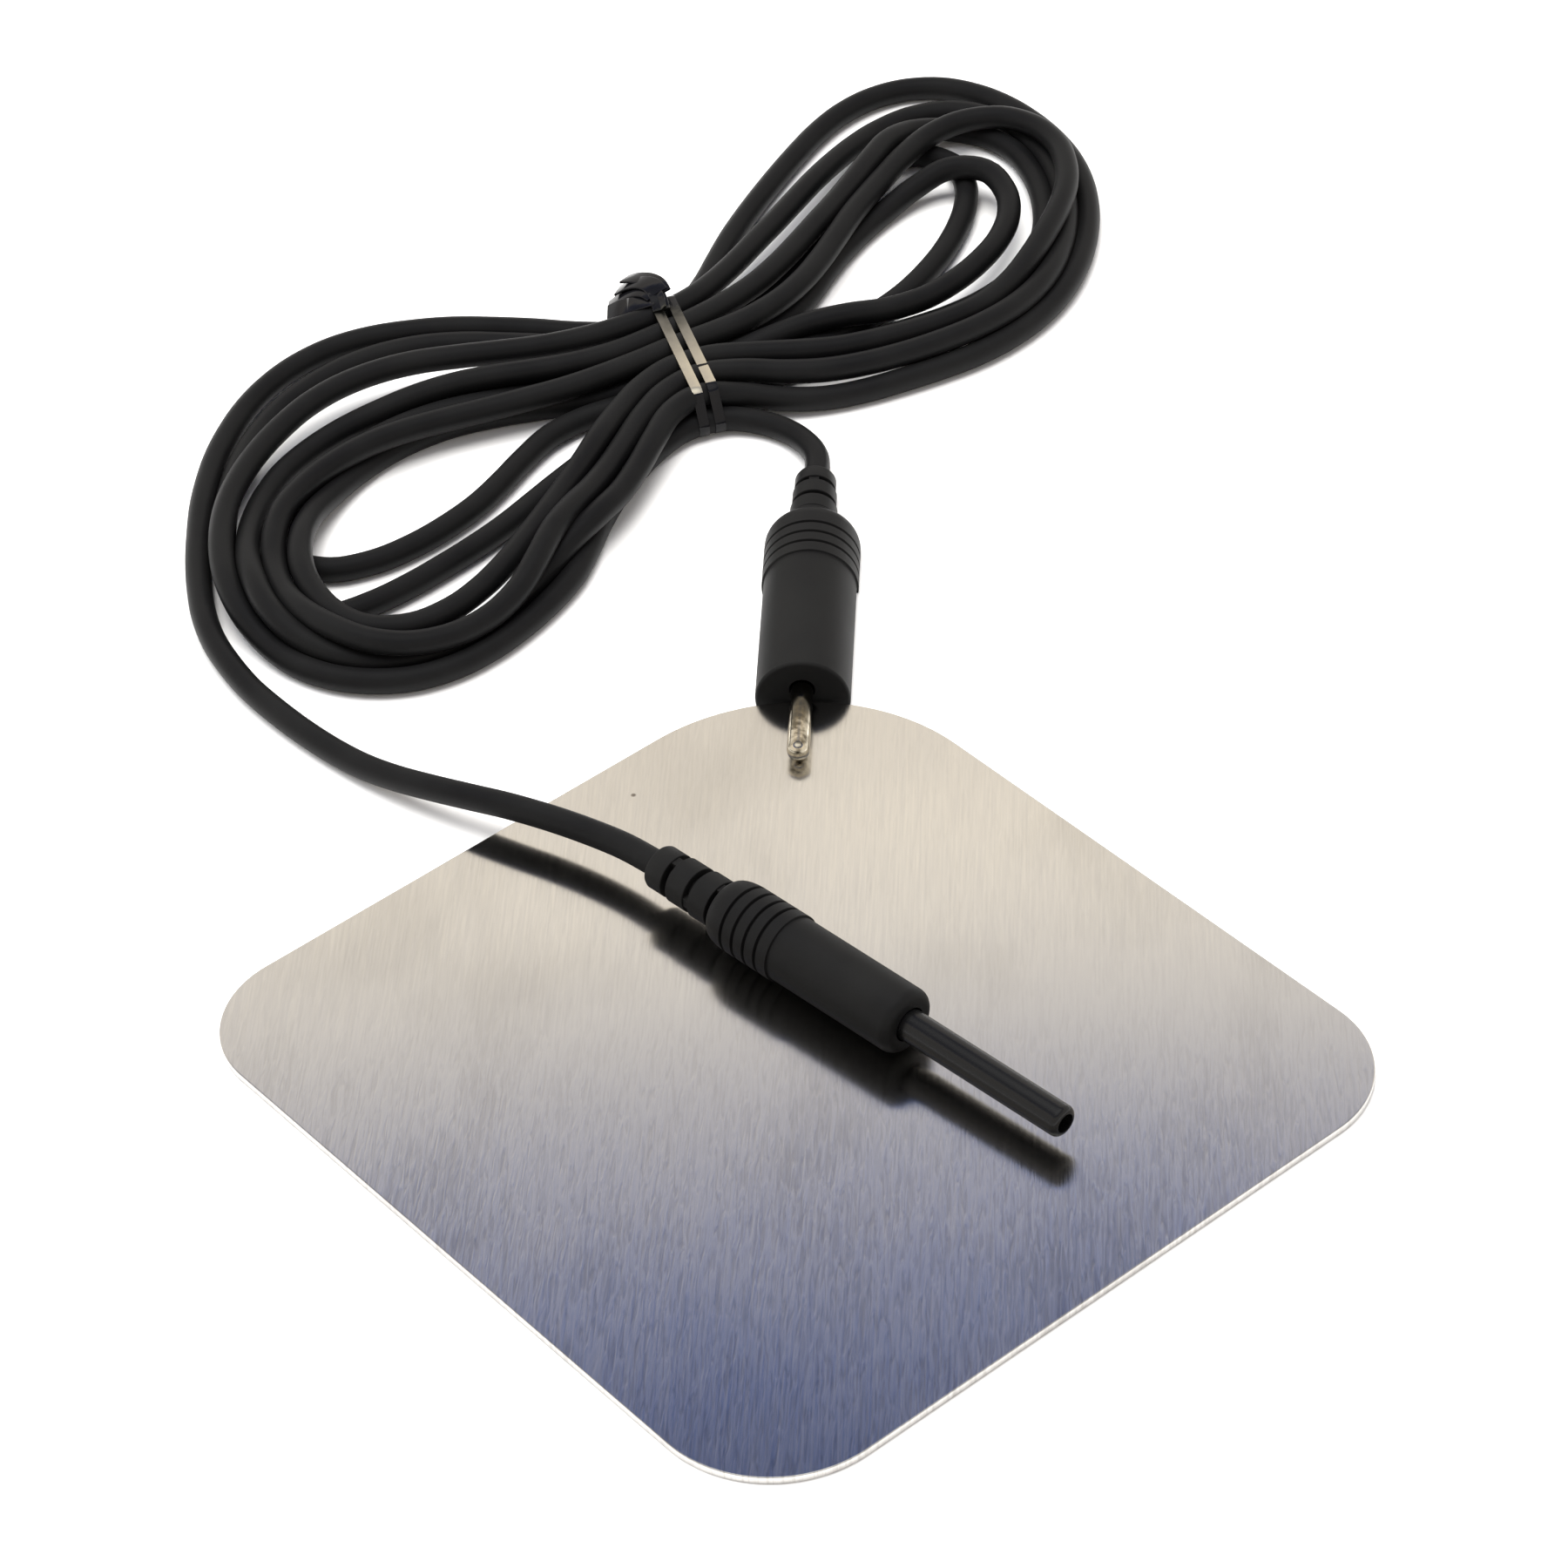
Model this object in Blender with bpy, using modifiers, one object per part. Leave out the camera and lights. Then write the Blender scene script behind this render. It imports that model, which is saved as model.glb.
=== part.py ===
"""Reusable return electrode for electrosurgery: a flat stainless plate with its own connecting lead.

Lengths are metres and +Z is up. The plate lies flat with its underside on Z = 0 and its centre over the
origin, its long side along X. The sleeve plug of the lead lies on the plate, the pin plug lies behind the
plate's far corner with its pin over the plate, and the cord between them lies beside the plate, wound
into a tied hank.
"""

import math

import bmesh
import bpy
from mathutils import Matrix, Vector

# Clearances
FIT = 0.0003  # between pieces that touch or slide into each other
STAND_OFF = 0.0001  # under what lies on the same surface as the plate

# Plate
PLATE_LENGTH = 0.150
PLATE_WIDTH = 0.140
PLATE_THICKNESS = 0.0015
PLATE_CORNERS = {"far_left": 0.0368, "near_left": 0.0186, "near_right": 0.0213, "far_right": 0.0193}
PLATE_EDGE_BREAK = 0.0002

# Cord
CORD_DIAMETER = 0.0047
CONDUCTOR_DIAMETER = 0.0024
JACKET_BORE = CONDUCTOR_DIAMETER + 2 * FIT

# Strain relief, shared by both plugs: three flanges with slots between them
SLOT_WIDTH = 0.0010
SLOT_DEPTH = 0.0013
BRIDGE_WIDTH = 0.0018
BRIDGE_BITE = 0.0004  # how far a bridge runs into the flange on each side of its slot
BRIDGE_SET_BACK = 0.0003
RELIEF_EDGE = 0.0006
GROOVE_WIDTH = 0.0004
GROOVE_DEPTH = 0.00035

# Pin plug: a round-topped grip with a flat underside
PIN_DIAMETER = 0.0040
PIN_LENGTH = 0.0180
PIN_NOSE = 0.0013
PIN_BARREL_RADIUS = 0.00845
PIN_BARREL_LENGTH = 0.0318
PIN_BARREL_EDGE = 0.0006
PIN_ARCH_HEIGHT = 0.0099  # top of the barrel over the surface it lies on
PIN_COLLAR_STEP = 0.00035
PIN_RIB_COUNT = 4
PIN_RIB_PITCH = 0.0028
PIN_SHOULDER_LENGTH = 0.0034
PIN_SHOULDER_RADIUS = 0.0062
PIN_ROOT_RADIUS = 0.0052
PIN_ROOT_LENGTH = 0.0003
PIN_RELIEF_LENGTH = 0.0140
PIN_RELIEF_FRONT_RADIUS = 0.0045
PIN_RELIEF_REAR_RADIUS = 0.0037
PIN_PLUG_HEADING = math.radians(-42.9)

# Sleeve plug: a round grip
SLEEVE_BARREL_RADIUS = 0.00585
SLEEVE_BARREL_LENGTH = 0.0268
SLEEVE_BARREL_EDGE = 0.0018
SLEEVE_COLLAR_STEP = 0.00035
SLEEVE_RIB_COUNT = 4
SLEEVE_RIB_PITCH = 0.0026
SLEEVE_SHOULDER_LENGTH = 0.0044
SLEEVE_SHOULDER_RADIUS = 0.0049
SLEEVE_RELIEF_LENGTH = 0.0160
SLEEVE_RELIEF_FRONT_RADIUS = 0.0044
SLEEVE_RELIEF_REAR_RADIUS = 0.0039
SLEEVE_TUBE_DIAMETER = 0.0056
SLEEVE_TUBE_REACH = 0.0338
SLEEVE_TUBE_SEAT = 0.0120
SLEEVE_TUBE_BORE = 0.0034
SLEEVE_TUBE_EDGE = 0.0011
SLEEVE_PLUG_HEADING = math.radians(5.2)
SLEEVE_FACE = Vector((0.0150, 0.0129))

# Contacts inside the plugs
FLANGE_RADIUS = 0.0030
FLANGE_THICKNESS = 0.0012
FLANGE_DEPTH = 0.0050
CRIMP_RADIUS = 0.0023
CRIMP_LENGTH = 0.0100
CRIMP_BORE_DEPTH = 0.0080
CRIMP_CLEAR = 0.0008  # free length between the crimp barrel and the cord's jacket
SOCKET_RECESS = 0.0040
SOCKET_BORE = 0.0018
SOCKET_BORE_DEPTH = 0.0120

# Hank of cord, with its long way across the plate's left side
HANK_HEIGHT = 0.0096

# Tie round the hank's waist: a flat strip, wound twice side by side. It lies tight over the strands that
# reach furthest out, each given as (across the hank, height of its middle).
TIE_STRIP_WIDTH = 0.0020
TIE_STRIP_THICKNESS = 0.00045
TIE_STRIP_GAP = 0.0012
TIE_STRANDS = ((-0.0172, 0.0032), (0.0173, 0.0032), (0.0144, 0.0072), (-0.0143, 0.0072))
TIE_DIRECTIONS = 48  # points round the tie's outline
TIE_CENTRE = Vector((-0.1545, 0.1052))
TIE_HEADING = math.radians(-24.0)
TIE_KNOT_LENGTH = 0.0030
TIE_KNOT_WIDTH = 0.0033
TIE_KNOT_HEIGHT = 0.0011
TIE_TAIL_RADIUS = 0.0009
TIE_TAIL = (
    (-0.1676, 0.1110, 0.0109),
    (-0.1700, 0.1119, 0.0112),
    (-0.1738, 0.1120, 0.0115),
    (-0.1768, 0.1104, 0.0117),
    (-0.1776, 0.1072, 0.0117),
    (-0.1764, 0.1042, 0.0116),
)

# Free stretches of the cord: points chosen along the route
LEAD_TO_SLEEVE_PLUG = (
    (-0.0505, 0.0068, 0.0081),
    (-0.0583, 0.0050, 0.0077),
    (-0.0659, 0.0026, 0.0074),
    (-0.0734, -0.0003, 0.0071),
    (-0.0808, -0.0033, 0.0064),
    (-0.0882, -0.0059, 0.0054),
    (-0.0959, -0.0080, 0.0041),
    (-0.1036, -0.0095, 0.0030),
    (-0.1115, -0.0105, 0.0025),
    (-0.1195, -0.0111, 0.0025),
    (-0.1275, -0.0113, 0.0025),
    (-0.1355, -0.0109, 0.0025),
    (-0.1434, -0.0097, 0.0025),
    (-0.1511, -0.0077, 0.0025),
    (-0.1585, -0.0046, 0.0025),
    (-0.1654, -0.0007, 0.0025),
    (-0.1721, 0.0037, 0.0025),
)
LEAD_TO_PIN_PLUG = (
    (-0.1158, 0.1050, 0.0034),
    (-0.1234, 0.1071, 0.0028),
    (-0.1312, 0.1058, 0.0026),
    (-0.1359, 0.1023, 0.0027),
)

# Outline of the hank, from its far waist round the left loop, over the near waist and round the right loop
HANK_OUTLINE = (
    (-0.1467, -0.0033),
    (-0.1348, -0.0029),
    (-0.1238, 0.0015),
    (-0.1156, 0.0101),
    (-0.1121, 0.0215),
    (-0.1127, 0.0334),
    (-0.1155, 0.0450),
    (-0.1205, 0.0559),
    (-0.1257, 0.0666),
    (-0.1308, 0.0774),
    (-0.1365, 0.0879),
    (-0.1358, 0.0994),
    (-0.1325, 0.1102),
    (-0.1261, 0.1202),
    (-0.1216, 0.1313),
    (-0.1185, 0.1429),
    (-0.1171, 0.1547),
    (-0.1184, 0.1666),
    (-0.1225, 0.1778),
    (-0.1288, 0.1880),
    (-0.1367, 0.1969),
    (-0.1462, 0.2043),
    (-0.1569, 0.2095),
    (-0.1685, 0.2124),
    (-0.1804, 0.2127),
    (-0.1919, 0.2095),
    (-0.2003, 0.2013),
    (-0.2032, 0.1898),
    (-0.2017, 0.1780),
    (-0.1978, 0.1667),
    (-0.1929, 0.1557),
    (-0.1878, 0.1449),
    (-0.1819, 0.1345),
    (-0.1756, 0.1243),
    (-0.1721, 0.1131),
    (-0.1780, 0.1030),
    (-0.1870, 0.0951),
    (-0.1959, 0.0871),
    (-0.2036, 0.0780),
    (-0.2091, 0.0674),
    (-0.2110, 0.0557),
    (-0.2090, 0.0439),
    (-0.2040, 0.0331),
    (-0.1971, 0.0233),
    (-0.1889, 0.0146),
    (-0.1798, 0.0069),
    (-0.1691, 0.0046),
    (-0.1584, -0.0007),
)
LEFT_HOLE = (
    (-0.1572, 0.0205),
    (-0.1522, 0.0255),
    (-0.1504, 0.0328),
    (-0.1501, 0.0402),
    (-0.1509, 0.0477),
    (-0.1527, 0.0550),
    (-0.1551, 0.0621),
    (-0.1576, 0.0692),
    (-0.1615, 0.0743),
    (-0.1650, 0.0677),
    (-0.1678, 0.0608),
    (-0.1699, 0.0536),
    (-0.1710, 0.0462),
    (-0.1696, 0.0388),
    (-0.1666, 0.0319),
    (-0.1626, 0.0256),
)
RIGHT_HOLE = (
    (-0.1497, 0.1290),
    (-0.1458, 0.1348),
    (-0.1456, 0.1421),
    (-0.1463, 0.1493),
    (-0.1479, 0.1564),
    (-0.1504, 0.1632),
    (-0.1536, 0.1697),
    (-0.1575, 0.1759),
    (-0.1625, 0.1812),
    (-0.1661, 0.1762),
    (-0.1658, 0.1689),
    (-0.1642, 0.1618),
    (-0.1619, 0.1549),
    (-0.1590, 0.1483),
    (-0.1558, 0.1417),
    (-0.1530, 0.1350),
)

PARTS = "return_electrode"
CUTTERS = "cutters"


def clear_scene():
    for obj in list(bpy.data.objects):
        bpy.data.objects.remove(obj)
    for name in (PARTS, CUTTERS):
        collection = bpy.data.collections.new(name)
        bpy.context.scene.collection.children.link(collection)
    bpy.data.collections[CUTTERS].hide_render = True


def material(name, colour, roughness, metallic=0.0):
    made = bpy.data.materials.new(name)
    made.use_nodes = True
    shader = made.node_tree.nodes["Principled BSDF"]
    shader.inputs["Base Color"].default_value = (*colour, 1.0)
    shader.inputs["Roughness"].default_value = roughness
    shader.inputs["Metallic"].default_value = metallic
    return made


def add(name, data, finish, collection=PARTS):
    obj = bpy.data.objects.new(name, data)
    bpy.data.collections[collection].objects.link(obj)
    if finish is None:
        obj.hide_render = True
        obj.display_type = "WIRE"
    else:
        data.materials.append(finish)
    return obj


def turned(name, profile, steps, finish, place, collection=PARTS):
    """Turns (radius, height) points about local Z. They run down the outside, from the top."""
    work = bmesh.new()
    points = [work.verts.new((radius, 0.0, height)) for radius, height in profile]
    for first, second in zip(points, points[1:]):
        work.edges.new((first, second))
    if profile[0][0] > 0.0:
        work.edges.new((points[-1], points[0]))
    mesh = bpy.data.meshes.new(name)
    work.to_mesh(mesh)
    work.free()
    obj = add(name, mesh, finish, collection)
    screw = obj.modifiers.new("turn", "SCREW")
    screw.axis = "Z"
    screw.steps = steps
    screw.render_steps = steps
    screw.use_merge_vertices = True
    screw.merge_threshold = 0.00001
    obj.matrix_world = place
    return obj


def block(name, size, centre, place):
    """A box cutter or filler, given in the local frame of place."""
    work = bmesh.new()
    bmesh.ops.create_cube(work, size=1.0)
    bmesh.ops.scale(work, vec=size, verts=work.verts)
    bmesh.ops.translate(work, vec=centre, verts=work.verts)
    mesh = bpy.data.meshes.new(name)
    work.to_mesh(mesh)
    work.free()
    obj = add(name, mesh, None, CUTTERS)
    obj.matrix_world = place
    return obj


def boolean(obj, other, operation):
    step = obj.modifiers.new(operation.lower() + "_" + other.name, "BOOLEAN")
    step.operation = operation
    step.solver = "EXACT"
    step.object = other


def smooth(obj, angle=30.0):
    """Shades round faces smooth, after the shape is settled in a mesh of its own."""
    bpy.context.view_layer.update()
    graph = bpy.context.evaluated_depsgraph_get()
    mesh = bpy.data.meshes.new_from_object(obj.evaluated_get(graph))
    obj.modifiers.clear()
    obj.data = mesh
    mesh.shade_smooth()
    mesh.set_sharp_from_angle(angle=math.radians(angle))


def along(point, heading, nose_down=0.0):
    """A frame at point whose local Z looks along the heading, tipped nose down, and local -X looks up."""
    return (
        Matrix.Translation(point)
        @ Matrix.Rotation(heading, 4, "Z")
        @ Matrix.Rotation(math.radians(90.0) + nose_down, 4, "Y")
    )


def quarter(radius, height, edge, count=4):
    """A rounded edge from the end face's rim over to the side, as profile points."""
    points = []
    for step in range(count + 1):
        turn = math.pi / 2 * step / count
        points.append((radius - edge + edge * math.sin(turn), height - edge + edge * math.cos(turn)))
    return points


def groove(radius, height, width=GROOVE_WIDTH, depth=GROOVE_DEPTH):
    return [
        (radius, height + width / 2),
        (radius - depth, height + width / 4),
        (radius - depth, height - width / 4),
        (radius, height - width / 2),
    ]


def relief_profile(front, rear, front_radius, rear_radius):
    """Three flanges that taper towards the cord, with two slots between them and one at the root."""
    pitch = (front - rear) / 3.0
    points = []
    for index in range(3):
        top = front - index * pitch
        share = (index + 0.5) / 3.0
        radius = front_radius + (rear_radius - front_radius) * share
        points += [
            (radius - SLOT_DEPTH, top),
            (radius - SLOT_DEPTH, top - SLOT_WIDTH),
            (radius, top - SLOT_WIDTH),
        ]
        if index < 2:
            points.append((radius, top - pitch))
        else:
            points += [(radius, rear + RELIEF_EDGE), (radius - RELIEF_EDGE, rear)]
    return points


def relief_bridges(name, front, rear, front_radius, rear_radius, place):
    """Ribs that join the flanges across the slots: above and below, and beside in the middle slot."""
    pitch = (front - rear) / 3.0
    ribs = []
    for index in range(3):
        share = (index + 0.5) / 3.0
        reach = 2.0 * (front_radius + (rear_radius - front_radius) * share - BRIDGE_SET_BACK)
        length = SLOT_WIDTH + 2 * BRIDGE_BITE
        size = (reach, BRIDGE_WIDTH, length) if index != 1 else (BRIDGE_WIDTH, reach, length)
        centre = (0.0, 0.0, front - index * pitch - SLOT_WIDTH / 2)
        ribs.append(block(f"{name}_bridge_{index}", size, centre, place))
    return ribs


def contact_shank(front):
    """The hidden rear of a contact, from its retaining flange to the open end of its crimp barrel."""
    flange_front = front - FLANGE_DEPTH
    flange_rear = flange_front - FLANGE_THICKNESS
    crimp_rear = flange_rear - CRIMP_LENGTH
    crimp_bore = CONDUCTOR_DIAMETER / 2 + FIT
    return flange_front, crimp_rear, [
        (FLANGE_RADIUS, flange_front),
        (FLANGE_RADIUS, flange_rear),
        (CRIMP_RADIUS, flange_rear),
        (CRIMP_RADIUS, crimp_rear),
        (crimp_bore, crimp_rear),
        (crimp_bore, crimp_rear + CRIMP_BORE_DEPTH),
        (0.0, crimp_rear + CRIMP_BORE_DEPTH),
    ]


def cord_core(name, jacket_front, rear, crimp_rear, finish_copper, finish_jacket, place):
    """The cord's end inside a plug: its bared conductor, and its jacket as a sleeve round it."""
    radius = CONDUCTOR_DIAMETER / 2
    conductor = [
        (0.0, crimp_rear + CRIMP_BORE_DEPTH - FIT),
        (radius, crimp_rear + CRIMP_BORE_DEPTH - FIT),
        (radius, rear + FIT),
        (0.0, rear + FIT),
    ]
    smooth(turned(name + "_conductor", conductor, 20, finish_copper, place))
    jacket = [
        (CORD_DIAMETER / 2, jacket_front),
        (CORD_DIAMETER / 2, rear + FIT),
        (JACKET_BORE / 2, rear + FIT),
        (JACKET_BORE / 2, jacket_front),
    ]
    smooth(turned(name + "_jacket_end", jacket, 24, finish_jacket, place))


def plug_bore(name, mouth_radius, flange_front, crimp_rear, jacket_front, rear, place):
    """The cutter for the stepped hole right through a plug's moulding, from its face to the cord."""
    reach = CORD_DIAMETER
    profile = [
        (0.0, reach),
        (mouth_radius, reach),
        (mouth_radius, flange_front + FIT),
        (FLANGE_RADIUS + FIT, flange_front + FIT),
        (FLANGE_RADIUS + FIT, flange_front - FLANGE_THICKNESS - FIT),
        (CRIMP_RADIUS + FIT, flange_front - FLANGE_THICKNESS - FIT),
        (CRIMP_RADIUS + FIT, (crimp_rear + jacket_front) / 2),
        (CORD_DIAMETER / 2 + FIT, (crimp_rear + jacket_front) / 2),
        (CORD_DIAMETER / 2 + FIT, rear - reach),
        (0.0, rear - reach),
    ]
    return turned(name, profile, 28, None, place, CUTTERS)


def rounded_sheet_outline(length, width, corners, steps=14):
    """Corner points of the plate, counter-clockwise from its far right corner."""
    order = (
        ("far_right", 1, 1, 0.0),
        ("far_left", -1, 1, 90.0),
        ("near_left", -1, -1, 180.0),
        ("near_right", 1, -1, 270.0),
    )
    points = []
    for name, side_x, side_y, start in order:
        radius = corners[name]
        centre = (side_x * (length / 2 - radius), side_y * (width / 2 - radius))
        for step in range(steps + 1):
            turn = math.radians(start + 90.0 * step / steps)
            points.append((centre[0] + radius * math.cos(turn), centre[1] + radius * math.sin(turn)))
    return points


def smooth_route(points, spacing, closed=False):
    """Reads a smooth curve through the points, at an even spacing."""
    count = len(points)
    dense = []
    for index in range(count if closed else count - 1):
        around = []
        for offset in (-1, 0, 1, 2):
            at = index + offset
            around.append(Vector(points[at % count] if closed else points[min(max(at, 0), count - 1)]))
        before, start, end, after = around
        for step in range(24):
            t = step / 24.0
            dense.append(
                0.5
                * (
                    2.0 * start
                    + (end - before) * t
                    + (2.0 * before - 5.0 * start + 4.0 * end - after) * t * t
                    + (3.0 * start - before - 3.0 * end + after) * t * t * t
                )
            )
    dense.append(Vector(points[0] if closed else points[-1]))
    lengths = [0.0]
    for first, second in zip(dense, dense[1:]):
        lengths.append(lengths[-1] + (second - first).length)
    pieces = max(2, round(lengths[-1] / spacing))
    route = []
    at = 0
    for piece in range(pieces + (0 if closed else 1)):
        wanted = lengths[-1] * piece / pieces
        while at < len(lengths) - 2 and lengths[at + 1] < wanted:
            at += 1
        span = lengths[at + 1] - lengths[at]
        share = (wanted - lengths[at]) / span if span else 0.0
        route.append(dense[at].lerp(dense[at + 1], share))
    return route


def add_spline(curve, points, closed):
    spline = curve.splines.new("POLY")
    spline.points.add(len(points) - 1)
    for target, point in zip(spline.points, points):
        target.co = (point[0], point[1], point[2] if len(point) > 2 else 0.0, 1.0)
    spline.use_cyclic_u = closed


def weld(mesh):
    """Joins a curve's caps to its sides."""
    work = bmesh.new()
    work.from_mesh(mesh)
    bmesh.ops.remove_doubles(work, verts=work.verts, dist=0.000001)
    work.to_mesh(mesh)
    work.free()


def flat_solid(name, outlines, thickness, finish, place, collection=PARTS):
    """A flat outline, with its holes, as thick as given, its middle plane in the frame of place."""
    curve = bpy.data.curves.new(name, "CURVE")
    curve.dimensions = "2D"
    curve.fill_mode = "BOTH"
    curve.extrude = thickness / 2
    for outline in outlines:
        add_spline(curve, outline, True)
    guide = bpy.data.objects.new(name + "_outline", curve)
    bpy.data.collections[CUTTERS].objects.link(guide)
    bpy.context.view_layer.update()
    graph = bpy.context.evaluated_depsgraph_get()
    mesh = bpy.data.meshes.new_from_object(guide.evaluated_get(graph))
    bpy.data.objects.remove(guide)
    weld(mesh)
    obj = add(name, mesh, finish, collection)
    obj.matrix_world = place
    return obj


def tube(name, points, diameter, finish, resolution=3):
    curve = bpy.data.curves.new(name, "CURVE")
    curve.dimensions = "3D"
    curve.bevel_depth = diameter / 2
    curve.bevel_resolution = resolution
    curve.use_fill_caps = True
    add_spline(curve, points, False)
    return add(name, curve, finish)


def make_plate(finish):
    outline = rounded_sheet_outline(PLATE_LENGTH, PLATE_WIDTH, PLATE_CORNERS)
    place = Matrix.Translation((0.0, 0.0, PLATE_THICKNESS / 2))
    plate = flat_solid("return_plate", [outline], PLATE_THICKNESS, finish, place)
    edge = plate.modifiers.new("edge_break", "BEVEL")
    edge.width = PLATE_EDGE_BREAK
    edge.segments = 1
    edge.limit_method = "ANGLE"
    edge.angle_limit = math.radians(60.0)
    smooth(plate)


def pin_plug_places():
    """Frames on the grip's own axis and on the wire's axis, at the middle of its front face."""
    corner = PLATE_CORNERS["far_left"]
    diagonal = Vector((math.cos(PIN_PLUG_HEADING), math.sin(PIN_PLUG_HEADING)))
    centre = Vector((-PLATE_LENGTH / 2 + corner, PLATE_WIDTH / 2 - corner))
    face = centre - diagonal * (corner + FIT)
    wire_height = PLATE_THICKNESS + FIT + PIN_DIAMETER / 2
    arch_height = PIN_ARCH_HEIGHT - PIN_BARREL_RADIUS
    grip = along(Vector((face.x, face.y, arch_height)), PIN_PLUG_HEADING)
    wire = along(Vector((face.x, face.y, wire_height)), PIN_PLUG_HEADING)
    return grip, wire


def make_pin_plug(rubber, nickel, copper, jacket):
    grip, wire = pin_plug_places()
    collar_front = -PIN_BARREL_LENGTH
    collar_radius = PIN_BARREL_RADIUS + PIN_COLLAR_STEP
    shoulder_front = collar_front - PIN_RIB_COUNT * PIN_RIB_PITCH
    shoulder_rear = shoulder_front - PIN_SHOULDER_LENGTH
    rear = shoulder_rear - PIN_RELIEF_LENGTH

    profile = [(0.0, 0.0)] + quarter(PIN_BARREL_RADIUS, 0.0, PIN_BARREL_EDGE, 3)
    profile += [(PIN_BARREL_RADIUS, collar_front), (collar_radius, collar_front - 0.0001)]
    for index in range(1, PIN_RIB_COUNT):
        profile += groove(collar_radius, collar_front - index * PIN_RIB_PITCH)
    for step in range(4):
        turn = math.pi / 2 * step / 4
        drop = (collar_radius - PIN_SHOULDER_RADIUS) * (1.0 - math.cos(turn))
        profile.append((collar_radius - drop, shoulder_front - PIN_SHOULDER_LENGTH * math.sin(turn)))
    profile += [(PIN_SHOULDER_RADIUS, shoulder_rear), (0.0, shoulder_rear)]
    body = turned("pin_plug_body", profile, 40, rubber, grip)

    relief = [(0.0, shoulder_front), (PIN_ROOT_RADIUS, shoulder_front)]
    root = shoulder_rear - PIN_ROOT_LENGTH
    radii = (PIN_RELIEF_FRONT_RADIUS, PIN_RELIEF_REAR_RADIUS)
    relief += [(PIN_ROOT_RADIUS, root)] + relief_profile(root, rear, *radii) + [(0.0, rear)]
    boolean(body, turned("pin_plug_relief_form", relief, 32, None, wire, CUTTERS), "UNION")
    for rib in relief_bridges("pin_plug", root, rear, *radii, wire):
        boolean(body, rib, "UNION")

    flange_front, crimp_rear, shank = contact_shank(0.0)
    jacket_front = crimp_rear - CRIMP_CLEAR
    mouth = PIN_DIAMETER / 2 + FIT
    bore = plug_bore("pin_plug_bore", mouth, flange_front, crimp_rear, jacket_front, rear, wire)
    boolean(body, bore, "DIFFERENCE")
    reach = 2.5 * (PIN_BARREL_LENGTH - rear)
    below = 2 * collar_radius
    floor = Matrix.Translation((grip.translation.x, grip.translation.y, STAND_OFF - below / 2))
    boolean(body, block("pin_plug_underside", (reach, reach, below), (0.0, 0.0, 0.0), floor), "DIFFERENCE")
    smooth(body)

    radius = PIN_DIAMETER / 2
    pin = [(0.0, PIN_LENGTH)] + quarter(radius, PIN_LENGTH, PIN_NOSE, 5) + [(radius, flange_front)] + shank
    smooth(turned("pin_plug_contact", pin, 28, nickel, wire))
    cord_core("pin_plug", jacket_front, rear, crimp_rear, copper, jacket, wire)
    return wire @ Vector((0.0, 0.0, rear)), (wire.to_3x3() @ Vector((0.0, 0.0, -1.0)))


def sleeve_plug_place():
    """The plug lies on the plate: its collar's first rib and its barrel's front edge both touch it."""
    collar_radius = SLEEVE_BARREL_RADIUS + SLEEVE_COLLAR_STEP
    between = SLEEVE_BARREL_LENGTH - SLEEVE_BARREL_EDGE
    nose_down = math.asin((collar_radius - SLEEVE_BARREL_RADIUS) / between)
    height = PLATE_THICKNESS + FIT + SLEEVE_BARREL_RADIUS - math.tan(nose_down) * SLEEVE_BARREL_EDGE
    return along(Vector((SLEEVE_FACE.x, SLEEVE_FACE.y, height)), SLEEVE_PLUG_HEADING, nose_down)


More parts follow.
